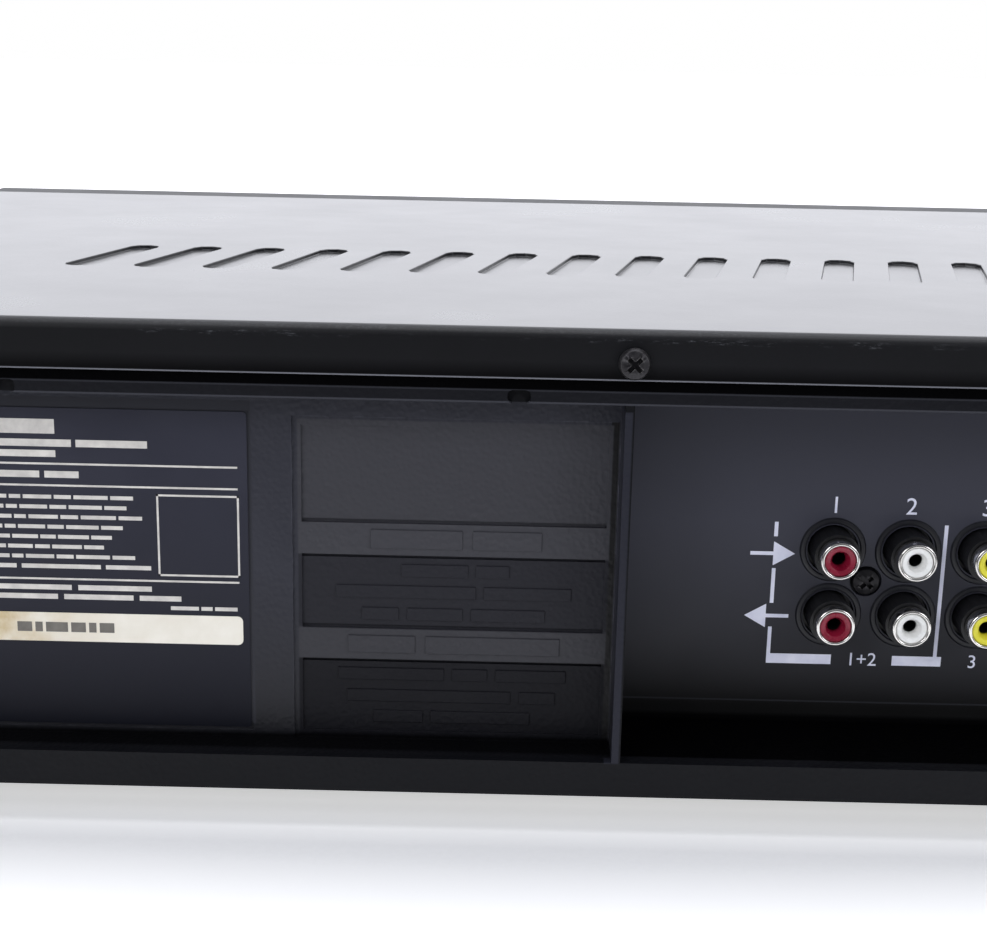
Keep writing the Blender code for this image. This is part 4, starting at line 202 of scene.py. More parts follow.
contact_glow = calc("MULTIPLY", contact_glow, ramp(across, 0.20, 0.16))
node("OutputMaterial", {"Surface": node("BsdfPrincipled", {
    "Base Color": node("Mix", {0: unlit, 2: tint, 3: 0.04}), "Roughness": 0.85, "Specular IOR Level": 0.1,
    "Emission Color": (1, 1, 1, 1), "Emission Strength": calc("MULTIPLY", seen, calc("ADD", glare, contact_glow)),
})})
board.data.materials.append(card)


# Top cover
# One folded sheet of steel, sprayed satin black, with slanted bars pressed into its top for stiffness.
# The paint is rubbed along the bends and picks up dust, and shines pale where light grazes it.
def ink(red, green, blue):
    """A colour given in levels from 0 to 255, as the linear values that a shader takes."""
    linear = []
    for level in (red / 255, green / 255, blue / 255):
        linear.append(level / 12.92 if level <= 0.04045 else ((level + 0.055) / 1.055) ** 2.4)
    return (*linear, 1.0)


def effect(name, output, **inputs):
    """Opens an empty node group, with its inputs and their first values, and one output."""
    group = bpy.data.node_groups.new(name, "ShaderNodeTree")
    for socket, value in inputs.items():
        kind = "NodeSocketVector" if isinstance(value, tuple) else "NodeSocketFloat"
        group.interface.new_socket(socket, in_out="INPUT", socket_type=kind).default_value = value
    group.interface.new_socket(output, in_out="OUTPUT", socket_type="NodeSocketFloat")
    opened(group)
    return group, tree.nodes.new("NodeGroupInput").outputs, tree.nodes.new("NodeGroupOutput").inputs[0]


drift, given, result = effect("tone_drift", "Tone", Size=0.03)
feed(result, ramp(noise(calc("DIVIDE", 1.0, given["Size"]), 4.0, 0.55), 0.3, 0.7))

rubbed, given, result = effect("rubbed_edge", "Mask", Reach=0.0005, Amount=1.0)
rounded = node("Bevel", {"Radius": given["Reach"]}, samples=4)
same = vectors("DOT_PRODUCT", node("NewGeometry").outputs["Normal"], rounded).outputs["Value"]
both = calc("MULTIPLY", ramp(same, 0.985, 0.80), ramp(noise(260.0, 5.0, 0.7), 0.44, 0.62))
feed(result, calc("MULTIPLY", both, given["Amount"], clamp=True))

dust, given, result = effect("settled_dust", "Mask", Amount=0.3)
flat = ramp(size_along(node("NewGeometry").outputs["Normal"], "Z"), 0.5, 0.98)
specks = ramp(noise(1400.0), 0.48, 0.70)
clots = ramp(noise(30.0, 3.0), 0.35, 0.70)
both = calc("MULTIPLY", calc("MULTIPLY_ADD", specks, clots, 0.12), flat)
feed(result, calc("MULTIPLY", both, given["Amount"], clamp=True))

patch, given, result = effect("patch", "Mask", Centre=(0, 0, 0), Half=(1, 1, 1), Soft=0.0003)
off = vectors("ABSOLUTE", vectors("SUBTRACT", spot(), given["Centre"]))
sides = node("SeparateXYZ", {0: vectors("SUBTRACT", off, given["Half"])}).outputs
most = calc("MAXIMUM", calc("MAXIMUM", sides["X"], sides["Y"]), sides["Z"])
feed(result, ramp(most, given["Soft"], 0.0))

scratches, given, result = effect("fine_scratches", "Mask", Along=(6.0, 260.0, 260.0), Spread=0.62)
streaks = noise(4.0, 6.0, 0.75, vectors("MULTIPLY", spot(), given["Along"]))
feed(result, ramp(streaks, given["Spread"], 0.80))


def use(group, **values):
    """An effect placed in the material, with its own values."""
    return node("Group", values, node_tree=group)


def zone(centre, half, soft=0.0003):
    """A mask of the space in a box, given by its centre and half its size."""
    return use(patch, Centre=centre, Half=half, Soft=soft)


def blend(share, first, second):
    """Two colours or two numbers mixed by a share."""
    first, second = out(first), out(second)
    if isinstance(first, tuple) or isinstance(second, tuple) or getattr(first, "type", "") == "RGBA":
        return node("Mix", {0: share, 6: first, 7: second}, data_type="RGBA").outputs[2]
    return node("Mix", {0: share, 2: first, 3: second})


def material(name):
    """Opens a new material with a principled shader."""
    global shader
    made = bpy.data.materials.new(name)
    made.use_nodes = True
    opened(made.node_tree)
    shader = node("BsdfPrincipled")
    node("OutputMaterial", {"Surface": shader})
    return made


def wear(**values):
    """Feeds the shader's sockets. An underscore in a name stands for a space."""
    for name, value in values.items():
        feed(shader.inputs[name.replace("_", " ")], value)


def relief(height, depth):
    """A bump of some depth from a height."""
    return node("Bump", {"Height": height, "Distance": depth})


def finish(piece, coat, body=None):
    """Gives a new piece its material, and the body that it rides on."""
    piece.data.materials.clear()
    piece.data.materials.append(coat)
    if body:
        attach(piece, body)


def eased(name, source, width, coat, angle=35.0, segments=2):
    """A CAD piece's own shape with its sharp edges eased, which stands for that piece on its body."""
    solid = frame["nodes"][source]
    made = bpy.data.objects.new(name, solid.data.copy())
    bpy.context.scene.collection.objects.link(made)
    bpy.ops.object.select_all(action="DESELECT")
    made.select_set(True)
    bpy.context.view_layer.objects.active = made
    bpy.ops.mesh.customdata_custom_splitnormals_clear()
    bpy.ops.object.mode_set(mode="EDIT")
    bpy.ops.mesh.select_all(action="SELECT")
    bpy.ops.mesh.remove_doubles(threshold=2e-6)
    bpy.ops.mesh.dissolve_limited(angle_limit=math.radians(0.5))
    bpy.ops.object.mode_set(mode="OBJECT")
    ease = made.modifiers.new("ease", "BEVEL")
    ease.width = width
    ease.segments = segments
    ease.angle_limit = math.radians(angle)
    ease.harden_normals = True
    bpy.ops.object.modifier_apply(modifier="ease")
    bpy.ops.object.shade_smooth_by_angle(angle=math.radians(angle))
    made.modifiers.new("flat_faces", "WEIGHTED_NORMAL").keep_sharp = True
    bpy.ops.object.modifier_apply(modifier="flat_faces")
    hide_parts(source)
    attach(made, solid["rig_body"])
    finish(made, coat)


paint = material("satin_black_paint")
place = spot()
tone = use(drift, Size=0.045)
edges = use(rubbed, Reach=0.0007, Amount=0.55)
film = use(dust, Amount=0.10)
lines = use(scratches, Along=(10.0, 240.0, 240.0), Spread=0.66)
base = blend(edges, blend(tone, ink(7, 8, 12), ink(11, 12, 17)), ink(120, 122, 126))
bend = zone((0, 0.1436, 0.1029), (0.19, 0.0012, 0.0004))
scuffs = ramp(noise(900.0, 6.0, 0.8, vectors("MULTIPLY", place, (0.45, 1.0, 2.2))), 0.56, 0.68)
scuffs = calc("MULTIPLY", scuffs, ramp(noise(22.0), 0.46, 0.62))
base = blend(calc("MULTIPLY", scuffs, bend), base, ink(78, 80, 84))
# Painted highlight: a thin pale line along the hem at the foot of the back flange. Painted shade: the flange
# just above it goes near black and loses its sheen.
hem_highlight = zone((0, 0.1441, 0.0951), (0.19, 0.0012, 0.00015), 0.00015)
shade = ramp(size_along(place, "Z"), 0.0957, 0.0985)
base = blend(shade, blend(hem_highlight, ink(2, 2, 4), ink(112, 113, 119)), base)
bent = ramp(size_along(place, "Y"), 0.1402, 0.1412)
rough = blend(film, blend(tone, 0.26, 0.33), 0.7)
level = ramp(size_along(node("NewGeometry").outputs["Normal"], "Z"), 0.5, 0.95)
level = calc("SUBTRACT", level, bent, clamp=True)
wear(Base_Color=blend(film, base, ink(150, 152, 158)), Roughness=blend(bent, blend(lines, rough, 0.5), 0.5),
     Specular_IOR_Level=blend(level, blend(shade, 0.08, 0.2), 0.5), IOR=1.7,
     Coat_Weight=blend(level, 0.0, 0.9), Coat_Roughness=0.22, Normal=relief(noise(1500.0), 0.00002))
eased("folded_cover", "top_cover", 0.00025, paint)


# Chassis
# One black moulding: floor, back and sides. Its rear face is leather-grained, with a smooth bluish recess
# for the label, a moulded panel, a rib, and a smooth satin wall at the back of the jack bay.
grain, given, result = effect("moulded_grain", "Height", Cell=0.0008)
pitch = calc("DIVIDE", 1.0, given["Cell"])
cells = node("TexVoronoi", {"Vector": spot(), "Scale": pitch, "Smoothness": 0.6, "Detail": 0.0},
             feature="SMOOTH_F1")
feed(result, blend(0.35, cells.outputs["Distance"], noise(pitch, 3.0)))

LABEL_FACE = 0.13355
BAY_FACE = 0.11775


def moulding(name, dark, light, rough, depth=0.00003, cell=0.0008, dusty=0.15, worn=0.35, specular=0.5):
    """A moulded plastic: two tones that drift, a fine grain, rubbed corners and a little dust."""
    made = material(name)
    tone = use(drift, Size=0.02)
    film = use(dust, Amount=dusty)
    edges = use(rubbed, Reach=0.0004, Amount=worn)
    base = blend(tone, ink(*dark), ink(*light))
    base = blend(edges, base, ink(*(min(255, level + 60) for level in light)))
    base = blend(film, base, ink(140, 142, 148))
    wear(Base_Color=base, Roughness=blend(film, blend(tone, rough - 0.04, rough + 0.04), 0.8),
         Normal=relief(use(grain, Cell=cell), depth), Specular_IOR_Level=specular)
    return made, base


# The case's rubbed edges are set strong: partly real wear, partly a painted highlight along the edges of the
# rim and rib.
case, base = moulding("black_case_moulding", (37, 38, 48), (43, 44, 54), 0.52, worn=0.5)
label_zone = zone((0.0985, LABEL_FACE, 0.053), (0.0392, 0.004, 0.0343))
bay_wall = zone((-0.0921, BAY_FACE, 0.0527), (0.0755, 0.0031, 0.0375))
place = node("SeparateXYZ", {0: spot()}).outputs
# Painted shade: the outermost faces of the back go much darker, and the whole case darkens towards the floor
# below 52 mm.
outer_face_shade = ramp(place["Y"], 0.1385, 0.1412)
foot = ramp(place["Z"], 0.019, 0.052)
base = blend(foot, blend(0.75, base, ink(6, 6, 9)), base)
base = blend(outer_face_shade, base, ink(8, 9, 14))
# Across the rim under the cover: a dark band, and two thin pale lines along its edges that are painted
# highlights.
for middle, reach, tone in ((0.09135, 0.0011, 16), (0.0926, 0.0001, 40), (0.0902, 0.00012, 56)):
    line = zone((0, 0.1429, middle), (0.189, 0.0012, reach), 0.00015)
    base = blend(line, base, ink(tone, tone + 1, tone + 7))
# Painted shadow in the narrow strip beside the rib.
rib_shadow = zone((-0.01375, 0.1333, 0.0500), (0.0007, 0.0030, 0.0345), 0.0002)
base = blend(rib_shadow, base, ink(8, 8, 11))
rib = zone((-0.0148, 0.1425, 0.052), (0.0013, 0.002, 0.0365))
base = blend(rib, base, ink(36, 37, 46))
base = blend(label_zone, base, ink(34, 35, 44))
# Painted shade: the bay wall goes from its satin grey at the top to black at its foot.
bay_wall_shade = ramp(place["Z"], 0.0190, 0.060)
base = blend(bay_wall, base, blend(bay_wall_shade, ink(2, 2, 3), ink(53, 54, 66)))
# Painted highlight: a thin pale line along the foot of the bay wall.
bay_foot_highlight = zone((-0.0921, BAY_FACE, 0.0198), (0.0752, 0.0031, 0.0001), 0.00015)
base = blend(bay_foot_highlight, base, ink(34, 35, 40))
# Painted shade: the panel's fields darken towards the bottom.
shade_fades_upward = ramp(place["Z"], 0.026, 0.078)
for low, high, dark, light in ((0.0630, 0.0837, 42, 54), (0.0555, 0.0630, 52, 56), (0.0400, 0.0555, 33, 41),
                               (0.0330, 0.0400, 46, 50), (0.0163, 0.0330, 18, 35)):
    field = zone((0.0183, 0.1345, (low + high) / 2), (0.0315, 0.0030, (high - low) / 2))
    base = blend(field, base, blend(shade_fades_upward, ink(dark, dark, dark + 5), ink(light, light, light + 6)))
# Painted shadow and shade, near black with almost no sheen: the gap under the cover's flange, the ledge along
# the foot and the bay floor.
flange_gap_shadow = zone((0, 0.1429, 0.0939), (0.19, 0.0015, 0.0010))
ledge_shade = calc("SUBTRACT", ramp(place["Z"], 0.0170, 0.0160), outer_face_shade, clamp=True)
bay_floor_shade = zone((-0.0921, 0.1290, 0.020), (0.0752, 0.0102, 0.0065), 0.0006)
sunk = calc("MAXIMUM", bay_floor_shade, calc("MULTIPLY", ledge_shade, 0.88))
sunk = calc("MAXIMUM", sunk, flange_gap_shadow)
dull = calc("MAXIMUM", zone((0.0183, 0.1345, 0.0477), (0.0315, 0.0030, 0.0078)),
            zone((0.0183, 0.1345, 0.0245), (0.0315, 0.0030, 0.0085)))
shine = blend(dull, blend(outer_face_shade, 0.45, 0.2), 0.2)
leather = blend(calc("MAXIMUM", label_zone, bay_wall), use(grain, Cell=0.0011), 0.5)
wear(Base_Color=blend(sunk, base, ink(3, 3, 4)), Specular_IOR_Level=blend(sunk, shine, 0.02),
     Normal=relief(leather, 0.00016))
eased("case_moulding", "chassis", 0.0002, case)


# Bay marks
# White ink on the jack bay's wall: numbers over the columns of jacks, arrows for in and out, and a
# bracket with a thick foot that ties the rows together.
white_ink = material("white_ink")
tone = use(drift, Size=0.004)
wear(Base_Color=blend(tone, ink(212, 214, 232), ink(232, 233, 246)), Roughness=blend(tone, 0.5, 0.6),
     Normal=relief(noise(2500.0), 0.00001))
INK = 0.00005


def clear():
    """Nothing selected, so that the next operator acts on the new shape alone."""
    bpy.ops.object.select_all(action="DESELECT")


def joined(name, parts):
    """Several meshes as one piece, with its place in its mesh."""
    clear()
    for part in parts:
        part.select_set(True)
    bpy.context.view_layer.objects.active = parts[0]
    bpy.ops.object.join()
    made = bpy.context.object
    made.name = name
    bpy.ops.object.transform_apply(location=True, rotation=True, scale=True)
    return made


def strip(low, high, face, front=False):
    """A flat strip of ink between two corners, X and Z, on a wall that faces back, or front."""
    clear()
    turn = math.pi / 2 if front else -math.pi / 2
    middle = ((low[0] + high[0]) / 2, face, (low[1] + high[1]) / 2)
    bpy.ops.mesh.primitive_plane_add(size=1.0, location=middle, rotation=(turn, 0, 0))
    bpy.ops.transform.resize(value=(high[0] - low[0], 1, high[1] - low[1]))
    return bpy.context.object


def sign(word, centre, height, face, front=False):
    """A figure or letter as a flat mesh, centred on a place, X and Z."""
    clear()
    bpy.ops.object.text_add()
    letters = bpy.context.object
    letters.data.body = word
    letters.data.align_x = "CENTER"
    letters.data.align_y = "CENTER"
    letters.data.size = height
    letters.rotation_euler = (math.pi / 2, 0, 0 if front else math.pi)
    letters.location = (centre[0], face, centre[1])
    bpy.ops.object.convert(target="MESH")
    return bpy.context.object


def arrow(tip, length, way, face, front=False):
    """A solid triangle with its tip at a place, X and Z. Its way is 0 along X, 90 up, and so on."""
    clear()
    radius = length / 1.5
    bpy.ops.mesh.primitive_circle_add(vertices=3, radius=radius, fill_type="NGON")
    made = bpy.context.object
    tilt = math.pi / 2 if front else -math.pi / 2
    turn = math.radians(way)
    made.rotation_euler = (tilt, tilt - turn, 0)
    made.location = (tip[0] - radius * math.cos(turn), face, tip[1] - radius * math.sin(turn))
    return made


def inked(name, parts, coat=white_ink):
    """Flat marks joined into one piece and given the thickness of the ink."""
    made = joined(name, parts)
    layer = made.modifiers.new("layer", "SOLIDIFY")
    layer.thickness = INK
    layer.offset = 0
    bpy.ops.object.modifier_apply(modifier="layer")
    finish(made, coat, "case_and_deck")


COLUMNS = (-0.062, -0.078, -0.094)
ROWS = (0.0544, 0.0399)
LINE = 0.0008
HEAD = 0.0046
TAIL = 0.0095
ink_face = BAY_FACE + INK
marks = [sign(str(count + 1), (x, 0.0641), 0.0052, ink_face) for count, x in enumerate(COLUMNS)]
bracket_x = -0.0497
foot = (0.0285, 0.0307)
spans = ((0.0571, 0.0603), (0.0422, 0.0500), (foot[1], 0.0368))
marks += [strip((bracket_x - LINE / 2, low), (bracket_x + LINE / 2, high), ink_face) for low, high in spans]
marks += [strip((low, foot[0]), (high, foot[1]), ink_face)
          for low, high in ((-0.0633, -0.0493), (-0.0871, -0.0765))]
marks.append(strip((-0.0861, foot[1]), (-0.0861 + LINE, 0.0603), ink_face))
marks.append(strip((-0.1170, foot[0]), (-0.1005, foot[1]), ink_face))
marks += [sign("1+2", (-0.0699, 0.0296), 0.0042, ink_face), sign("3", (-0.0938, 0.0296), 0.0042, ink_face)]
for tip, way in (((-0.0540, 0.0533), -1), ((-0.0440, 0.0393), 1)):
    marks.append(arrow(tip, HEAD, 90 - way * 90, ink_face))
    tail = sorted((tip[0] - way * HEAD, tip[0] - way * TAIL))
    marks.append(strip((tail[0], tip[1] - LINE / 2), (tail[1], tip[1] + LINE / 2), ink_face))
inked("bay_marks", marks)


# Panel lines
# The moulded panel beside the bay has plain raised bars in its fields and on its bands, of the same black
# plastic as the case and moulded in one with it.
def bars(left, right, level, height, words, face, space=0.45):
    """A line of print shown as a row of plain bars of uneven lengths, with spaces between them."""
    made = []
    unit = (right - left) / (sum(words) + space * (len(words) - 1))
    start = right
    for length in words:
        made.append(strip((start - unit * length, level - height / 2), (start, level + height / 2), face))
        start -= unit * (length + space)
    return made


lines = []
BAND = 0.13305
FIELD = 0.13255
for left, right, level, height, words, face in (
        (0.0003, 0.0352, 0.0592, 0.0040, (4, 3), BAND), (-0.0039, 0.0398, 0.0365, 0.0038, (3, 6), BAND),
        (0.0068, 0.0289, 0.0524, 0.0027, (4, 2), FIELD), (-0.0060, 0.0423, 0.0478, 0.0027, (8, 5), FIELD),
        (-0.0007, 0.0370, 0.0430, 0.0027, (2, 3, 4), FIELD), (-0.0033, 0.0401, 0.0250, 0.0027, (9, 2), FIELD),
        (-0.0054, 0.0419, 0.0298, 0.0027, (6, 2, 4), FIELD), (0.0019, 0.0346, 0.0204, 0.0027, (3, 6), FIELD)):
    lines += bars(left, right, level, height, words, face)
raised = joined("panel_bars", lines)
for kind, settings in (("SOLIDIFY", {"thickness": 0.0006, "offset": 0}),
                       ("BEVEL", {"width": 0.00018, "segments": 2, "limit_method": "ANGLE"})):
    change = raised.modifiers.new("shape", kind)
    for setting, value in settings.items():
        setattr(change, setting, value)
    bpy.ops.object.modifier_apply(modifier="shape")
finish(raised, case, "case_and_deck")


# Label
# A thin printed sheet stuck in the recess left of the moulded panel, with rules, an empty square frame and
# short bars in place of lines of print, and a cream paper sticker across its foot.
sheet_ink = material("dark_label_sheet")
tone = use(drift, Size=0.03)
lines = use(scratches, Along=(60.0, 60.0, 14.0), Spread=0.68)
# Painted shade: the sheet darkens towards its foot and loses its sheen there.
shade_fades_upward = ramp(size_along(spot(), "Z"), 0.018, 0.070)
base = blend(shade_fades_upward, ink(20, 21, 28), blend(tone, ink(43, 44, 56), ink(48, 49, 62)))
wear(Base_Color=blend(lines, base, ink(60, 61, 70)), Roughness=blend(tone, 0.34, 0.44),
     Specular_IOR_Level=blend(shade_fades_upward, 0.1, 0.4), Normal=relief(noise(700.0), 0.000015))

RECESS = 0.0004
SHEET = 0.0002
STICKER = 0.00012


def slip(name, low, high, back, thick, corner, coat):
    """A sheet that faces back, between two corners, with its corners cut round by a bevel."""
    made = strip(low, high, back)
    made.name = name
    bpy.ops.object.transform_apply(location=True, rotation=True, scale=True)
    bpy.ops.object.mode_set(mode="EDIT")
    bpy.ops.mesh.select_all(action="SELECT")
    bpy.ops.mesh.bevel(offset=corner, segments=4, affect="VERTICES")
    bpy.ops.mesh.extrude_region_move(TRANSFORM_OT_translate={"value": (0, thick, 0)})
    bpy.ops.mesh.select_all(action="SELECT")
    bpy.ops.mesh.normals_make_consistent(inside=False)
    bpy.ops.object.mode_set(mode="OBJECT")
    finish(made, coat, "case_and_deck")


floor_y = LABEL_FACE - RECESS
sheet_y = floor_y + SHEET
slip("label_sheet", (0.0600, 0.0175), (0.1370, 0.0850), floor_y, SHEET, 0.0008, sheet_ink)
top_y = sheet_y + INK / 2
RULE = 0.0004
rules = []
for level in (0.0735, 0.0690, 0.0492):
    rules.append(strip((0.0620, level - RULE / 2), (0.1350, level + RULE / 2), top_y))
for low, high in (((0.0618, 0.0503), (0.0785, 0.0507)), ((0.0618, 0.0672), (0.0785, 0.0676)),
                  ((0.0618, 0.0503), (0.0622, 0.0676)), ((0.0781, 0.0503), (0.0785, 0.0676))):
    rules.append(strip(low, high, top_y))
for left, right, level, height, words in (
        (0.0985, 0.1340, 0.0812, 0.0030, (3, 5)), (0.0800, 0.1340, 0.0778, 0.0015, (4, 6, 8, 7)),
        (0.0985, 0.1340, 0.0756, 0.0014, (3, 4, 4)), (0.0940, 0.1340, 0.0713, 0.0014, (4, 5, 4, 3)),
        (0.0800, 0.1340, 0.0519, 0.0009, (6, 5, 7, 4)), (0.0800, 0.1280, 0.0474, 0.0011, (4, 6, 5)),
        (0.0740, 0.1320, 0.0454, 0.0011, (6, 5, 5, 3)), (0.0625, 0.0762, 0.0434, 0.0008, (5, 2, 4))):
    rules += bars(left, right, level, height, words, top_y)
for row, left in enumerate((0.0832, 0.0846, 0.0815, 0.0855, 0.0878, 0.0895, 0.0832)):
    words = [2 + (row * 5 + word * 3) % 5 for word in range(10)]
    rules += bars(left, 0.1340, 0.0666 - row * 0.0021, 0.0008, words, top_y)


def toned(size, dark, light):
    """A colour that drifts between two, in clouds of some size."""
    return blend(use(drift, Size=size), ink(*dark), ink(*light))


def print_ink(name, dark, light):
    """A printed ink with a faint drift of tone and a soft sheen."""
    made = material(name)
    wear(Base_Color=toned(0.003, dark, light), Roughness=blend(use(drift, Size=0.002), 0.5, 0.65))
    return made


inked("label_print", rules, print_ink("warm_white_ink", (196, 192, 186), (224, 220, 212)))

cream = material("cream_paper")
tone = use(drift, Size=0.006)
stain = calc("MULTIPLY", ramp(size_along(spot(), "X"), 0.086, 0.112), tone)
base = blend(tone, ink(236, 230, 214), ink(246, 241, 228))
wear(Base_Color=blend(stain, base, ink(196, 172, 120)), Roughness=blend(tone, 0.62, 0.75),
     Normal=relief(noise(1800.0, 4.0), 0.00003))
slip("label_sticker", (0.0614, 0.0357), (0.1340, 0.0419), sheet_y, STICKER, 0.0011, cream)
digits = bars(0.0880, 0.1080, 0.0388, 0.0021, (2, 1, 3, 2, 1, 2), sheet_y + STICKER + INK / 2)
inked("sticker_print", digits, print_ink("grey_ink", (104, 100, 94), (124, 120, 112)))


# Jacks
# Six phono jacks: a coloured moulded liner with a plug hole in a bright drawn shell with a rolled lip,
# in a black moulded block behind the wall. Red and white are the right and left sound, yellow the picture.
def turned(name, rings, place, axis="Y", sides=64):
    """A lathe form: a circle pulled from ring to ring. Rings are radius and distance along the axis."""
    clear()
    radius, level = rings[0]
    bpy.ops.mesh.primitive_circle_add(vertices=sides, radius=1.0, location=(0, 0, 0))
    made = bpy.context.object
    made.name = name
    bpy.ops.object.mode_set(mode="EDIT")
    bpy.ops.mesh.select_all(action="SELECT")
    bpy.ops.transform.resize(value=(radius, radius, 1), center_override=(0, 0, 0))
    bpy.ops.transform.translate(value=(0, 0, level))
    for wide, high in rings[1:]:
        bpy.ops.mesh.extrude_region_move(TRANSFORM_OT_translate={"value": (0, 0, high - level)})
        bpy.ops.transform.resize(value=(wide / radius, wide / radius, 1), center_override=(0, 0, high))
        radius, level = wide, high
    bpy.ops.mesh.select_all(action="SELECT")
    bpy.ops.mesh.remove_doubles(threshold=1e-7)
    bpy.ops.mesh.normals_make_consistent(inside=False)
    bpy.ops.object.mode_set(mode="OBJECT")
    made.rotation_euler = {"Y": (-math.pi / 2, 0, 0), "-Y": (math.pi / 2, 0, 0), "Z": (0, 0, 0)}[axis]
    made.location = place
    bpy.ops.object.transform_apply(location=True, rotation=True, scale=True)
    bpy.ops.object.shade_smooth_by_angle(angle=math.radians(35))
    return made


def rolled(centre, radius, start, end, steps=6):
    """Ring places round an arc of a profile, from one angle to another in degrees."""
    turns = [math.radians(start + (end - start) * step / steps) for step in range(steps + 1)]
    return [(centre[0] + radius * math.cos(turn), centre[1] + radius * math.sin(turn)) for turn in turns]


def dress(coat, *names):
    """Gives CAD pieces that keep their own mesh a material."""
    for name in names:
        for held in frame["nodes"][name].material_slots:
            held.material = coat


bright = material("bright_nickel")
tone = use(drift, Size=0.004)
lines = use(scratches, Along=(400.0, 60.0, 400.0), Spread=0.66)
base = blend(tone, ink(222, 220, 216), ink(238, 236, 233))
wear(Base_Color=blend(lines, base, ink(150, 148, 146)), Metallic=1.0,
     Roughness=blend(lines, blend(tone, 0.12, 0.20), 0.4))
jack_moulding = moulding("jack_moulding", (16, 16, 18), (22, 22, 25), 0.38, depth=0.00001, worn=0.1)[0]
dress(jack_moulding, "jack_block", "front_jack_block")
collar_coat = moulding("collar_moulding", (20, 20, 26), (27, 28, 34), 0.4, depth=0.00001, worn=0.1)[0]


def liner_plastic(name, dark, light):
    """A glossy coloured moulding for the inside of a jack."""
    made = material(name)
    wear(Base_Color=toned(0.003, dark, light), Roughness=blend(use(drift, Size=0.003), 0.22, 0.34),
         Normal=relief(noise(900.0), 0.00001))
    return made


red = liner_plastic("red_liner", (118, 16, 40), (140, 26, 52))
cream_white = liner_plastic("white_liner", (232, 232, 228), (246, 246, 243))
yellow = liner_plastic("yellow_liner", (214, 206, 40), (232, 224, 70))
low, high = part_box("right_in_jack_shell")
SHELL = (high.x - low.x) / 2
TIP = 0.003
WALL = 0.00085
reach = high.y - low.y
lip = 0.00045
shell_rings = (
    [(SHELL - WALL, 0.0), (SHELL - 0.0003, 0.0), (SHELL - 0.0003, reach - TIP), (SHELL, reach - TIP)]
    + rolled((SHELL - lip, reach - lip), lip, 0, 90)
    + rolled((SHELL - WALL + 0.0003, reach - 0.0003), 0.0003, 90, 180, 3)
    + [(SHELL - WALL, 0.0)]
)
liner_rings = [(wide, reach - deep) for wide, deep in (
    (0.00320, 0.00120), (0.00320, 0.00035), (0.00300, 0.00020), (0.00235, 0.00030), (0.00212, 0.00042),
    (0.00150, 0.00175), (0.00150, 0.00300), (0.00156, 0.00300), (0.00156, 0.00170), (0.00221, 0.00038),
    (0.00304, 0.00038), (0.00304, 0.00120), (0.00320, 0.00120),
)]
collar_rings = [(0.0058, -0.0002), (0.0058, 0.0002), (0.0060, 0.00045), (0.0064, 0.0005), (0.0068, 0.0004),
                (0.0071, 0.0), (0.0071, -0.0002), (0.0058, -0.0002)]
for row, height in zip(("in", "out"), ROWS):
    for side, x, colour in zip(("right", "left", "video"), COLUMNS, (red, cream_white, yellow)):
        shell = turned(f"{side}_{row}_shell", shell_rings, (x, low.y, height))
        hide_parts(f"{side}_{row}_jack_shell")
        finish(shell, bright, "case_and_deck")
        liner = turned(f"{side}_{row}_liner", liner_rings, (x, low.y, height))
        finish(liner, colour, "case_and_deck")
        collar = turned(f"{side}_{row}_collar", collar_rings, (x, BAY_FACE, height))
        finish(collar, collar_coat, "case_and_deck")


# Screws
# Pan-head screws with a cross, blackened: one holds the cover at the back, one the jack block.
black_oxide = material("black_oxide")
tone = use(drift, Size=0.002)
edges = use(rubbed, Reach=0.0003, Amount=0.8)
base = blend(tone, ink(44, 43, 46), ink(66, 65, 67))
wear(Base_Color=blend(edges, base, ink(150, 148, 146)), Metallic=0.75, Roughness=blend(tone, 0.32, 0.5))
for name in ("cover_screw", "jack_screw"):
    eased(name + "_blackened", name, 0.00012, black_oxide)


# Tuner
# A tinned steel can on the board, whose two antenna sockets come through the jack bay's wall. Each socket is
# a threaded nickelled barrel with a white insulator. The channel switch beside them is a ribbed black slide.
def metal(name, dark, light, rough, along=(50.0, 50.0, 500.0), worn=0.3):
    """A bare or plated metal: two tones that drift, drawn streaks and brighter worn edges."""
    made = material(name)
    tone = use(drift, Size=0.012)
    lines = use(scratches, Along=along, Spread=0.60)
    base = blend(tone, ink(*dark), ink(*light))
    base = blend(lines, base, ink(*(level * 0.75 for level in dark)))
    wear(Base_Color=blend(use(rubbed, Reach=0.0003, Amount=worn), base, ink(236, 235, 232)), Metallic=1.0,
         Roughness=blend(lines, blend(tone, rough - 0.05, rough + 0.05), rough + 0.2),
         Normal=relief(lines, 0.00001))
    return made


tin = metal("tinned_steel", (186, 186, 184), (210, 209, 206), 0.3)
eased("tuner_can", "tuner_box", 0.0002, tin)
THREAD_BACK = 0.1187
INSULATOR_BACK = 0.12776
SOCKET_IN = 0.02926
thread = [(0.00473, 0.0)]
for turn in range(10):
    start = turn * 0.0008
    thread += [(0.00498, start + 0.0002), (0.00498, start + 0.0004), (0.00476, start + 0.0007)]
thread += [(0.00473, 0.0083), (0.00473, 0.0)]
insulator = [(0.0036, 0.0), (0.0036, 0.00025), (0.0034, 0.0004), (0.0012, 0.0004), (0.0009, 0.0002),
             (0.0009, 0.0), (0.0036, 0.0)]
socket_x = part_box("tuner_box")[0].x + SOCKET_IN
for row, height in zip(("upper", "lower"), ROWS):
    barrel = turned(f"{row}_antenna_thread", thread, (socket_x, THREAD_BACK, height), sides=48)
    finish(barrel, bright, "case_and_deck")
    disc = turned(f"{row}_antenna_insulator", insulator, (socket_x, INSULATOR_BACK, height))
    finish(disc, cream_white, "case_and_deck")
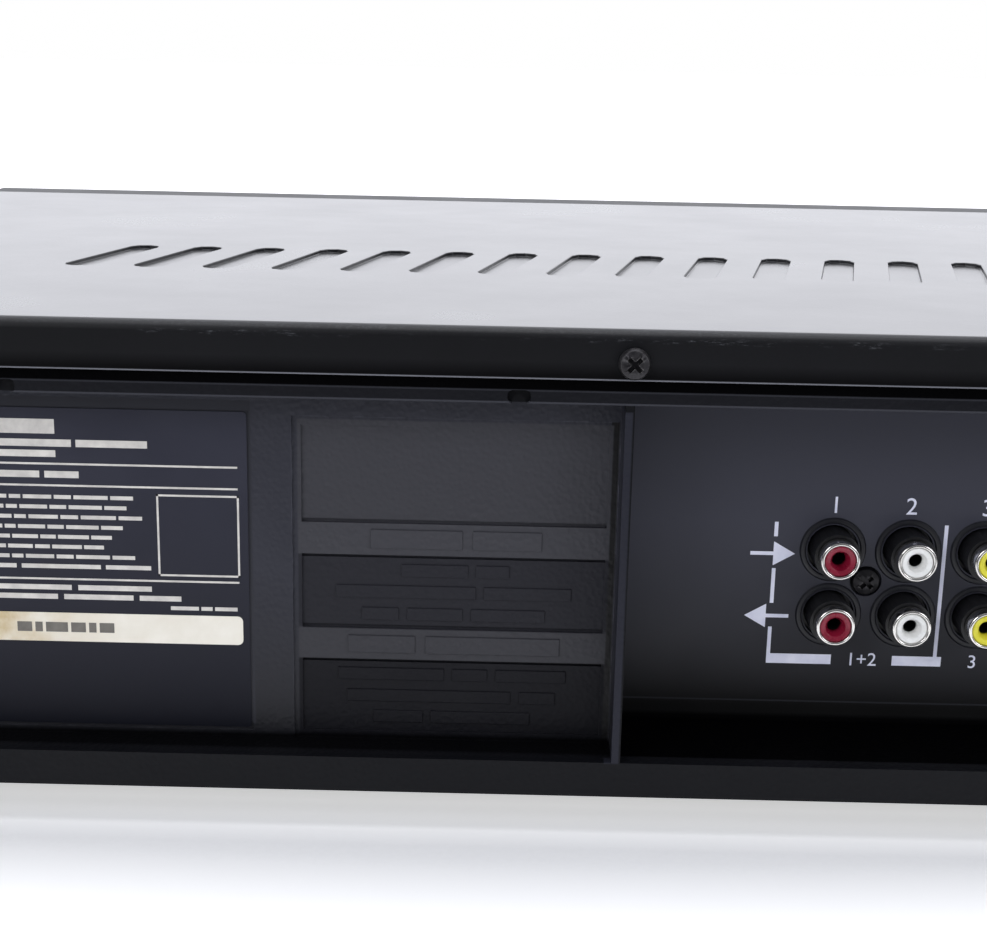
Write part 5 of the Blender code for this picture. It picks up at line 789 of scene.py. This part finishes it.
key_coat = moulding("key_moulding", (28, 29, 32), (34, 35, 39), 0.42, depth=0.00001, cell=0.0005, worn=0.3)[0]
eased("channel_slide", "channel_switch", 0.0002, key_coat)


# Cord gland, feet and underside
# The cord's bush is soft black rubber pressed into the wall, and the four feet are turned rubber pads.
# The bottom is a zinc-plated sheet with rows of slots.
rubber = moulding("black_rubber", (20, 20, 21), (29, 29, 30), 0.82, depth=0.00004, cell=0.0005, dusty=0.35,
                  worn=0.15, specular=0.25)[0]
eased("cord_bush", "cord_gland", 0.0003, rubber)
for corner in ("front_left", "front_right", "rear_left", "rear_right"):
    eased(f"{corner}_pad", f"{corner}_foot", 0.0004, rubber)

sheet_steel = material("zinc_plated_steel")
crystals = size_along(node("TexVoronoi", {"Vector": spot(), "Scale": 260.0}).outputs["Color"], "X")
lines = use(scratches, Along=(90.0, 12.0, 90.0), Spread=0.64)
film = use(dust, Amount=0.25)
base = blend(crystals, ink(168, 168, 164), ink(196, 195, 188))
base = blend(use(drift, Size=0.05), base, ink(190, 186, 166))
wear(Base_Color=blend(film, base, ink(120, 116, 108)), Metallic=blend(film, 1.0, 0.2),
     Roughness=blend(lines, blend(crystals, 0.30, 0.42), 0.6), Normal=relief(lines, 0.00001))
eased("base_sheet", "bottom_plate", 0.0001, sheet_steel)


# Front panel
# The bezel is a fine-grained black moulding with the cassette slot, nine keys, the display window and a
# pocket for three jacks. Plain signs are printed above the keys. The door and keys are smoother mouldings.
bezel = moulding("bezel_moulding", (24, 25, 28), (30, 31, 35), 0.45, depth=0.000015, cell=0.0004, worn=0.3)[0]
eased("front_bezel", "front_panel", 0.0003, bezel)
eased("slot_door", "cassette_door", 0.0003, bezel)
KEYS = ("power", "eject", "play", "stop", "rewind", "record", "fast_forward", "channel_down", "channel_up")
for name in KEYS:
    eased(f"{name}_cap", f"{name}_button", 0.0003, key_coat)

panel_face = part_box("front_panel")[0].y - INK
SIGN = 0.0026
half = SIGN / 2
signs = []
for name in KEYS:
    low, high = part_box(f"{name}_button")
    x, z = (low.x + high.x) / 2, high.z + 0.0018
    if name in ("play", "rewind", "fast_forward"):
        way, step = (180, -SIGN) if name == "rewind" else (0, SIGN)
        for count in range(1 if name == "play" else 2):
            signs.append(arrow((x + step * (0.5 + count * 1.02), z), SIGN, way, panel_face, True))
    elif name == "stop":
        signs.append(strip((x - half, z - half), (x + half, z + half), panel_face, True))
    elif name == "record":
        clear()
        bpy.ops.mesh.primitive_circle_add(vertices=32, radius=half, fill_type="NGON",
                                          location=(x, panel_face, z), rotation=(math.pi / 2, 0, 0))
        signs.append(bpy.context.object)
    elif name == "eject":
        signs.append(arrow((x, z + SIGN * 0.55), SIGN, 90, panel_face, True))
        wide = SIGN * 0.6
        signs.append(strip((x - wide, z - SIGN * 0.85), (x + wide, z - SIGN * 0.6), panel_face, True))
    elif name == "power":
        signs.append(sign("O", (x, z), 0.0042, panel_face, True))
        signs.append(strip((x - 0.00022, z), (x + 0.00022, z + 0.0021), panel_face, True))
    else:
        way, rise = (90, half) if name == "channel_up" else (270, -half)
        signs.append(arrow((x, z + rise), SIGN, way, panel_face, True))
inked("key_signs", signs)


# Display
# A smoked acrylic window with fine wiping scratches, and behind it the glass display tube with its dark
# segments for the clock, unlit.
smoked = material("smoked_acrylic")
lines = use(scratches, Along=(14.0, 100.0, 160.0), Spread=0.68)
wear(Base_Color=toned(0.02, (164, 160, 172), (174, 170, 182)), Transmission_Weight=0.85,
     Roughness=blend(lines, 0.03, 0.3), Normal=relief(lines, 0.000005))
eased("smoked_window_pane", "display_window", 0.0002, smoked)
glass = material("tube_glass")
tone = use(drift, Size=0.01)
mesh = node("TexBrick", {"Vector": spot(), "Scale": 400.0}).outputs["Fac"]
wear(Base_Color=blend(tone, ink(30, 38, 40), ink(40, 49, 50)), Roughness=blend(tone, 0.06, 0.14),
     Normal=relief(mesh, 0.000004))
eased("clock_tube", "display_tube", 0.0004, glass)
phosphor = material("unlit_phosphor")
wear(Base_Color=toned(0.002, (120, 150, 140), (146, 172, 160)),
     Roughness=blend(use(drift, Size=0.003), 0.6, 0.8))
low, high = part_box("display_tube")
tube_face = low.y - INK
middle = (low.z + high.z) / 2
segments = []
TALL, WIDE, BAR = 0.0045, 0.0048, 0.0009
for column in (-0.021, -0.013, -0.001, 0.007):
    for level in (-TALL, 0.0, TALL):
        level += middle - BAR / 2
        segments.append(strip((column + BAR, level), (column + WIDE - BAR, level + BAR), tube_face, True))
    for side in (-BAR / 2, WIDE - BAR / 2):
        for start in (BAR * 0.7 - TALL, BAR * 0.7):
            side_low = (column + side, middle + start)
            side_high = (column + side + BAR, middle + start + TALL - BAR * 1.4)
            segments.append(strip(side_low, side_high, tube_face, True))
for level in (-0.002, 0.002):
    level += middle - BAR / 2
    segments.append(strip((-0.0052, level), (-0.0043, level + BAR), tube_face, True))
inked("clock_segments", segments, phosphor)


# Front jacks
# Three jacks in the bezel's pocket, the same pattern as those at the back: yellow, white and red.
collet = [(0.00345, 0.0), (0.00345, 0.00025), (0.0038, 0.0003), (0.00421, 0.0001), (0.00421, -0.0022),
          (0.00417, -0.0022), (0.00417, 0.00002), (0.00345, 0.0)]
lining = [(0.00340, 0.00002), (0.00340, 0.00012), (0.00325, 0.00018), (0.0025, 0.00014), (0.00212, -0.00002),
          (0.00150, -0.00135), (0.00150, -0.00260), (0.00156, -0.00260), (0.00156, -0.00130),
          (0.00221, 0.00002), (0.00340, 0.00002)]
low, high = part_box("front_jack_block")
IN_BLOCK = 0.00615
pitch = (high.x - low.x - 2 * IN_BLOCK) / 2
for count, colour in enumerate((yellow, cream_white, red)):
    place = (low.x + IN_BLOCK + count * pitch, low.y, low.z + IN_BLOCK)
    for part, rings, coat in (("ring", collet, bright), ("liner", lining, colour)):
        made = turned(f"front_jack_{part}_{count + 1}", rings, place, axis="-Y")
        finish(made, coat, "case_and_deck")


# Boards
# The front board is brown phenolic and the main board has a green solder mask with paler tracks. Sleeved
# capacitors and packaged circuits stand on the main board beside the deck.
def board_coat(name, ground, track, scale):
    """A printed board: tracks that turn square corners, small pads, and a worn satin surface."""
    made = material(name)
    place = spot()
    cells = node("TexVoronoi", {"Vector": place, "Scale": scale, "Randomness": 0.75}, distance="CHEBYCHEV")
    tracks = ramp(calc("PINGPONG", cells.outputs["Distance"], 0.22), 0.10, 0.13)
    pads = node("TexVoronoi", {"Vector": place, "Scale": scale * 2.5}).outputs["Distance"]
    pads = ramp(pads, 0.16, 0.12)
    base = blend(tracks, toned(0.03, ground, [level * 1.15 for level in ground]), ink(*track))
    wear(Base_Color=blend(pads, base, ink(180, 182, 184)), Metallic=blend(pads, 0.0, 0.9),
         Roughness=blend(pads, 0.45, 0.25), Normal=relief(tracks, 0.00003))
    return made


dress(board_coat("green_solder_mask", (14, 70, 38), (26, 104, 58), 120.0), "main_board", "capstan_motor")
dress(board_coat("brown_phenolic", (112, 76, 40), (146, 104, 58), 150.0), "front_board")
sleeve = moulding("capacitor_sleeve", (22, 24, 44), (30, 33, 58), 0.3, depth=0.00001, worn=0.1)[0]
tops = metal("stamped_aluminium", (190, 190, 192), (212, 212, 214), 0.32)
epoxy = moulding("black_epoxy", (16, 16, 17), (24, 24, 25), 0.6, depth=0.00002, cell=0.0003, worn=0.1)[0]
board_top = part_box("main_board")[1].z + 0.0001


def again(source, name, move):
    """A copy of a piece with its own mesh, moved."""
    made = bpy.data.objects.new(name, source.data.copy())
    made.data.transform(Matrix.Translation(move))
    bpy.context.scene.collection.objects.link(made)
    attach(made, "case_and_deck")


def capacitor(radius, height):
    """A sleeved can that stands on the board: its sleeve with a crimped ring, and its bare scored top."""
    ring = height * 0.16
    sunk = height - 0.0012
    rim = height - 0.0004
    score = height - 0.0006
    wall = [(0.0004, 0.0), (radius, 0.0), (radius, ring), (radius - 0.0004, ring + 0.0005)]
    wall += [(radius, ring + 0.001), (radius, height - 0.0008), (radius - 0.0004, height - 0.0002)]
    wall += [(radius * 0.78, height - 0.0002), (radius * 0.78, sunk), (0.0004, sunk), (0.0004, 0.0)]
    lid = [(0.0002, sunk), (radius * 0.77, sunk), (radius * 0.77, rim), (0.0009, rim)]
    lid += [(0.0009, score), (0.0002, score), (0.0002, sunk)]
    can = turned("can", wall, (0, 0, 0), "Z", 40)
    top = turned("top", lid, (0, 0, 0), "Z", 40)
    can.data.materials.append(sleeve)
    top.data.materials.append(tops)
    return can, top


for size, (radius, height, places) in enumerate((
        (0.0090, 0.0300, ((0.140, 0.030), )),
        (0.0065, 0.0200, ((0.163, 0.030), (0.138, -0.020), (-0.142, 0.020), (-0.165, -0.050))),
        (0.0050, 0.0120, ((0.160, -0.018), (0.173, 0.004), (-0.162, 0.000), (-0.130, -0.040),
                          (0.150, -0.050))))):
    can, top = capacitor(radius, height)
    for count, (x, y) in enumerate(places):
        again(can, f"capacitor_sleeve_{size + 1}_{count + 1}", (x, y, board_top))
        again(top, f"capacitor_top_{size + 1}_{count + 1}", (x, y, board_top))
    for model in (can, top):
        bpy.data.objects.remove(model)


def slab(low, high, round_by):
    """A small block between two corners, with its edges rounded."""
    clear()
    bpy.ops.mesh.primitive_cube_add(size=1.0, location=[(a + b) / 2 for a, b in zip(low, high)])
    bpy.ops.transform.resize(value=[b - a for a, b in zip(low, high)])
    made = bpy.context.object
    bpy.ops.object.transform_apply(location=True, rotation=True, scale=True)
    bpy.ops.object.mode_set(mode="EDIT")
    bpy.ops.mesh.select_all(action="SELECT")
    bpy.ops.mesh.bevel(offset=round_by, segments=2, affect="EDGES")
    bpy.ops.object.mode_set(mode="OBJECT")
    bpy.ops.object.shade_smooth_by_angle(angle=math.radians(35))
    return made


package = slab((-0.012, -0.0042, 0.0008), (0.012, 0.0042, 0.0042), 0.0004)
package.data.materials.append(epoxy)
legs = []
for count in range(10):
    for side in (-1, 1):
        x, y = -0.0108 + count * 0.0024, side * 0.0046
        legs.append(slab((x - 0.0003, y - 0.0003, 0.0), (x + 0.0003, y + 0.0003, 0.0026), 0.0001))
legs = joined("legs", legs)
legs.data.materials.append(tin)
for count, (x, y) in enumerate(((-0.142, -0.012), (-0.146, -0.072), (0.146, 0.004), (0.146, -0.034))):
    again(package, f"circuit_package_{count + 1}", (x, y, board_top))
    again(legs, f"circuit_legs_{count + 1}", (x, y, board_top))
for model in (package, legs):
    bpy.data.objects.remove(model)


# Transformer and heat sink
# The transformer is a stack of varnished iron sheets with a taped coil at each end. The heat sink is a
# length of extruded aluminium with drawn lines.
iron = material("transformer_iron")
low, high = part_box("power_transformer")
depth = size_along(spot(), "Y")
off = calc("ABSOLUTE", calc("SUBTRACT", depth, (low.y + high.y) / 2))
taped = ramp(off, 0.01095, 0.01105)
stack = ramp(calc("PINGPONG", depth, 0.00025), 0.0, 0.00008)
sheets = blend(stack, ink(30, 28, 28), toned(0.01, (82, 76, 74), (104, 98, 94)))
tape = toned(0.006, (196, 160, 60), (210, 176, 84))
wear(Base_Color=blend(taped, sheets, tape), Metallic=blend(taped, 0.7, 0.0),
     Roughness=blend(taped, 0.5, 0.35), Normal=relief(stack, 0.00005))
eased("transformer_stack", "power_transformer", 0.0002, iron)
drawn = metal("extruded_aluminium", (176, 177, 180), (198, 199, 202), 0.34, along=(500.0, 500.0, 20.0))
eased("finned_sink", "heat_sink", 0.00012, drawn)
dress(drawn, "drum_base")


# Tape deck
# A zinc-plated plate with pressed rims carries the mechanism: grey nylon reel tables and gears, a rubber
# tyred idler, the leaning polished drum, the ground steel capstan, brass tape guides and the motors.
eased("deck_sheet", "deck_plate", 0.0001, sheet_steel)
nylon = moulding("grey_nylon", (150, 152, 154), (168, 170, 171), 0.5, depth=0.00001, cell=0.0006, dusty=0.2,
                 worn=0.2)[0]
felt_rings = [(0.015, 0.0), (0.015, 0.0004), (0.0152, 0.0006), (0.0208, 0.0006), (0.021, 0.0004),
              (0.021, 0.0), (0.015, 0.0)]
for side in ("supply", "take_up"):
    eased(f"{side}_reel_table", f"{side}_reel", 0.0003, nylon)
    low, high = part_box(f"{side}_reel")
    centre = ((low.x + high.x) / 2, (low.y + high.y) / 2, low.z + 0.0033)
    felt = turned(f"{side}_reel_ring", felt_rings, centre, "Z", 72)
    finish(felt, rubber, f"{side}_table")
eased("idler_lever", "idler_arm", 0.0001, sheet_steel)
eased("idler_tyre_ring", "idler_wheel", 0.0004, rubber)


def spun(name, source, dark, light, rough):
    """A metal turned on a lathe: rings round the middle of a CAD piece, with a drift of tone."""
    made = material(name)
    low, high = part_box(source)
    off = vectors("SUBTRACT", spot(), ((low.x + high.x) / 2, (low.y + high.y) / 2, 0))
    away = vectors("LENGTH", vectors("MULTIPLY", off, (1, 1, 0))).outputs["Value"]
    way = calc("ADD", away, size_along(off, "Z"))
    rings = node("TexNoise", {"W": way, "Scale": 5000.0, "Detail": 3.0}, noise_dimensions="1D")
    groove = ink(*(level * 0.8 for level in dark))
    wear(Base_Color=blend(rings, toned(0.02, dark, light), groove), Metallic=1.0,
         Roughness=blend(rings, rough - 0.06, rough + 0.08), Normal=relief(rings, 0.000006))
    return made


polished = spun("turned_aluminium", "drum_rotor", (204, 204, 206), (222, 222, 224), 0.18)
eased("upper_drum", "drum_rotor", 0.0002, polished)
ground = spun("ground_steel", "capstan", (180, 179, 178), (204, 203, 201), 0.22)
eased("capstan_and_flywheel", "capstan", 0.0002, ground)
dress(tin, "loading_motor", "control_head")
eased("pinch_lever", "pinch_arm", 0.0001, sheet_steel)
eased("pinch_tyre", "pinch_roller", 0.0003, rubber)
eased("cam_wheel", "cam_gear", 0.00008, nylon, 50.0, 1)
brass = metal("brass", (188, 150, 84), (208, 172, 104), 0.26, along=(300.0, 300.0, 60.0))
for name in ("loading_pinion", "supply_guide", "take_up_guide"):
    eased(f"{name}_brass", name, 0.00008, brass, 50.0, 1)


# Cassette carriage
# Bent zinc-plated sheets: two brackets, and the cage that takes the cassette in and sets it down. The
# nylon sliders and their gear draw it.
for name, made in (("left_carriage_bracket", "left_side_frame"),
                   ("right_carriage_bracket", "right_side_frame"),
                   ("cassette_holder", "cassette_cage")):
    eased(made, name, 0.0001, sheet_steel)
for name, made in (("left_slider", "left_rack"), ("right_slider", "right_rack"),
                   ("carriage_gear", "drive_gear")):
    eased(made, name, 0.00006, nylon, 50.0, 1)
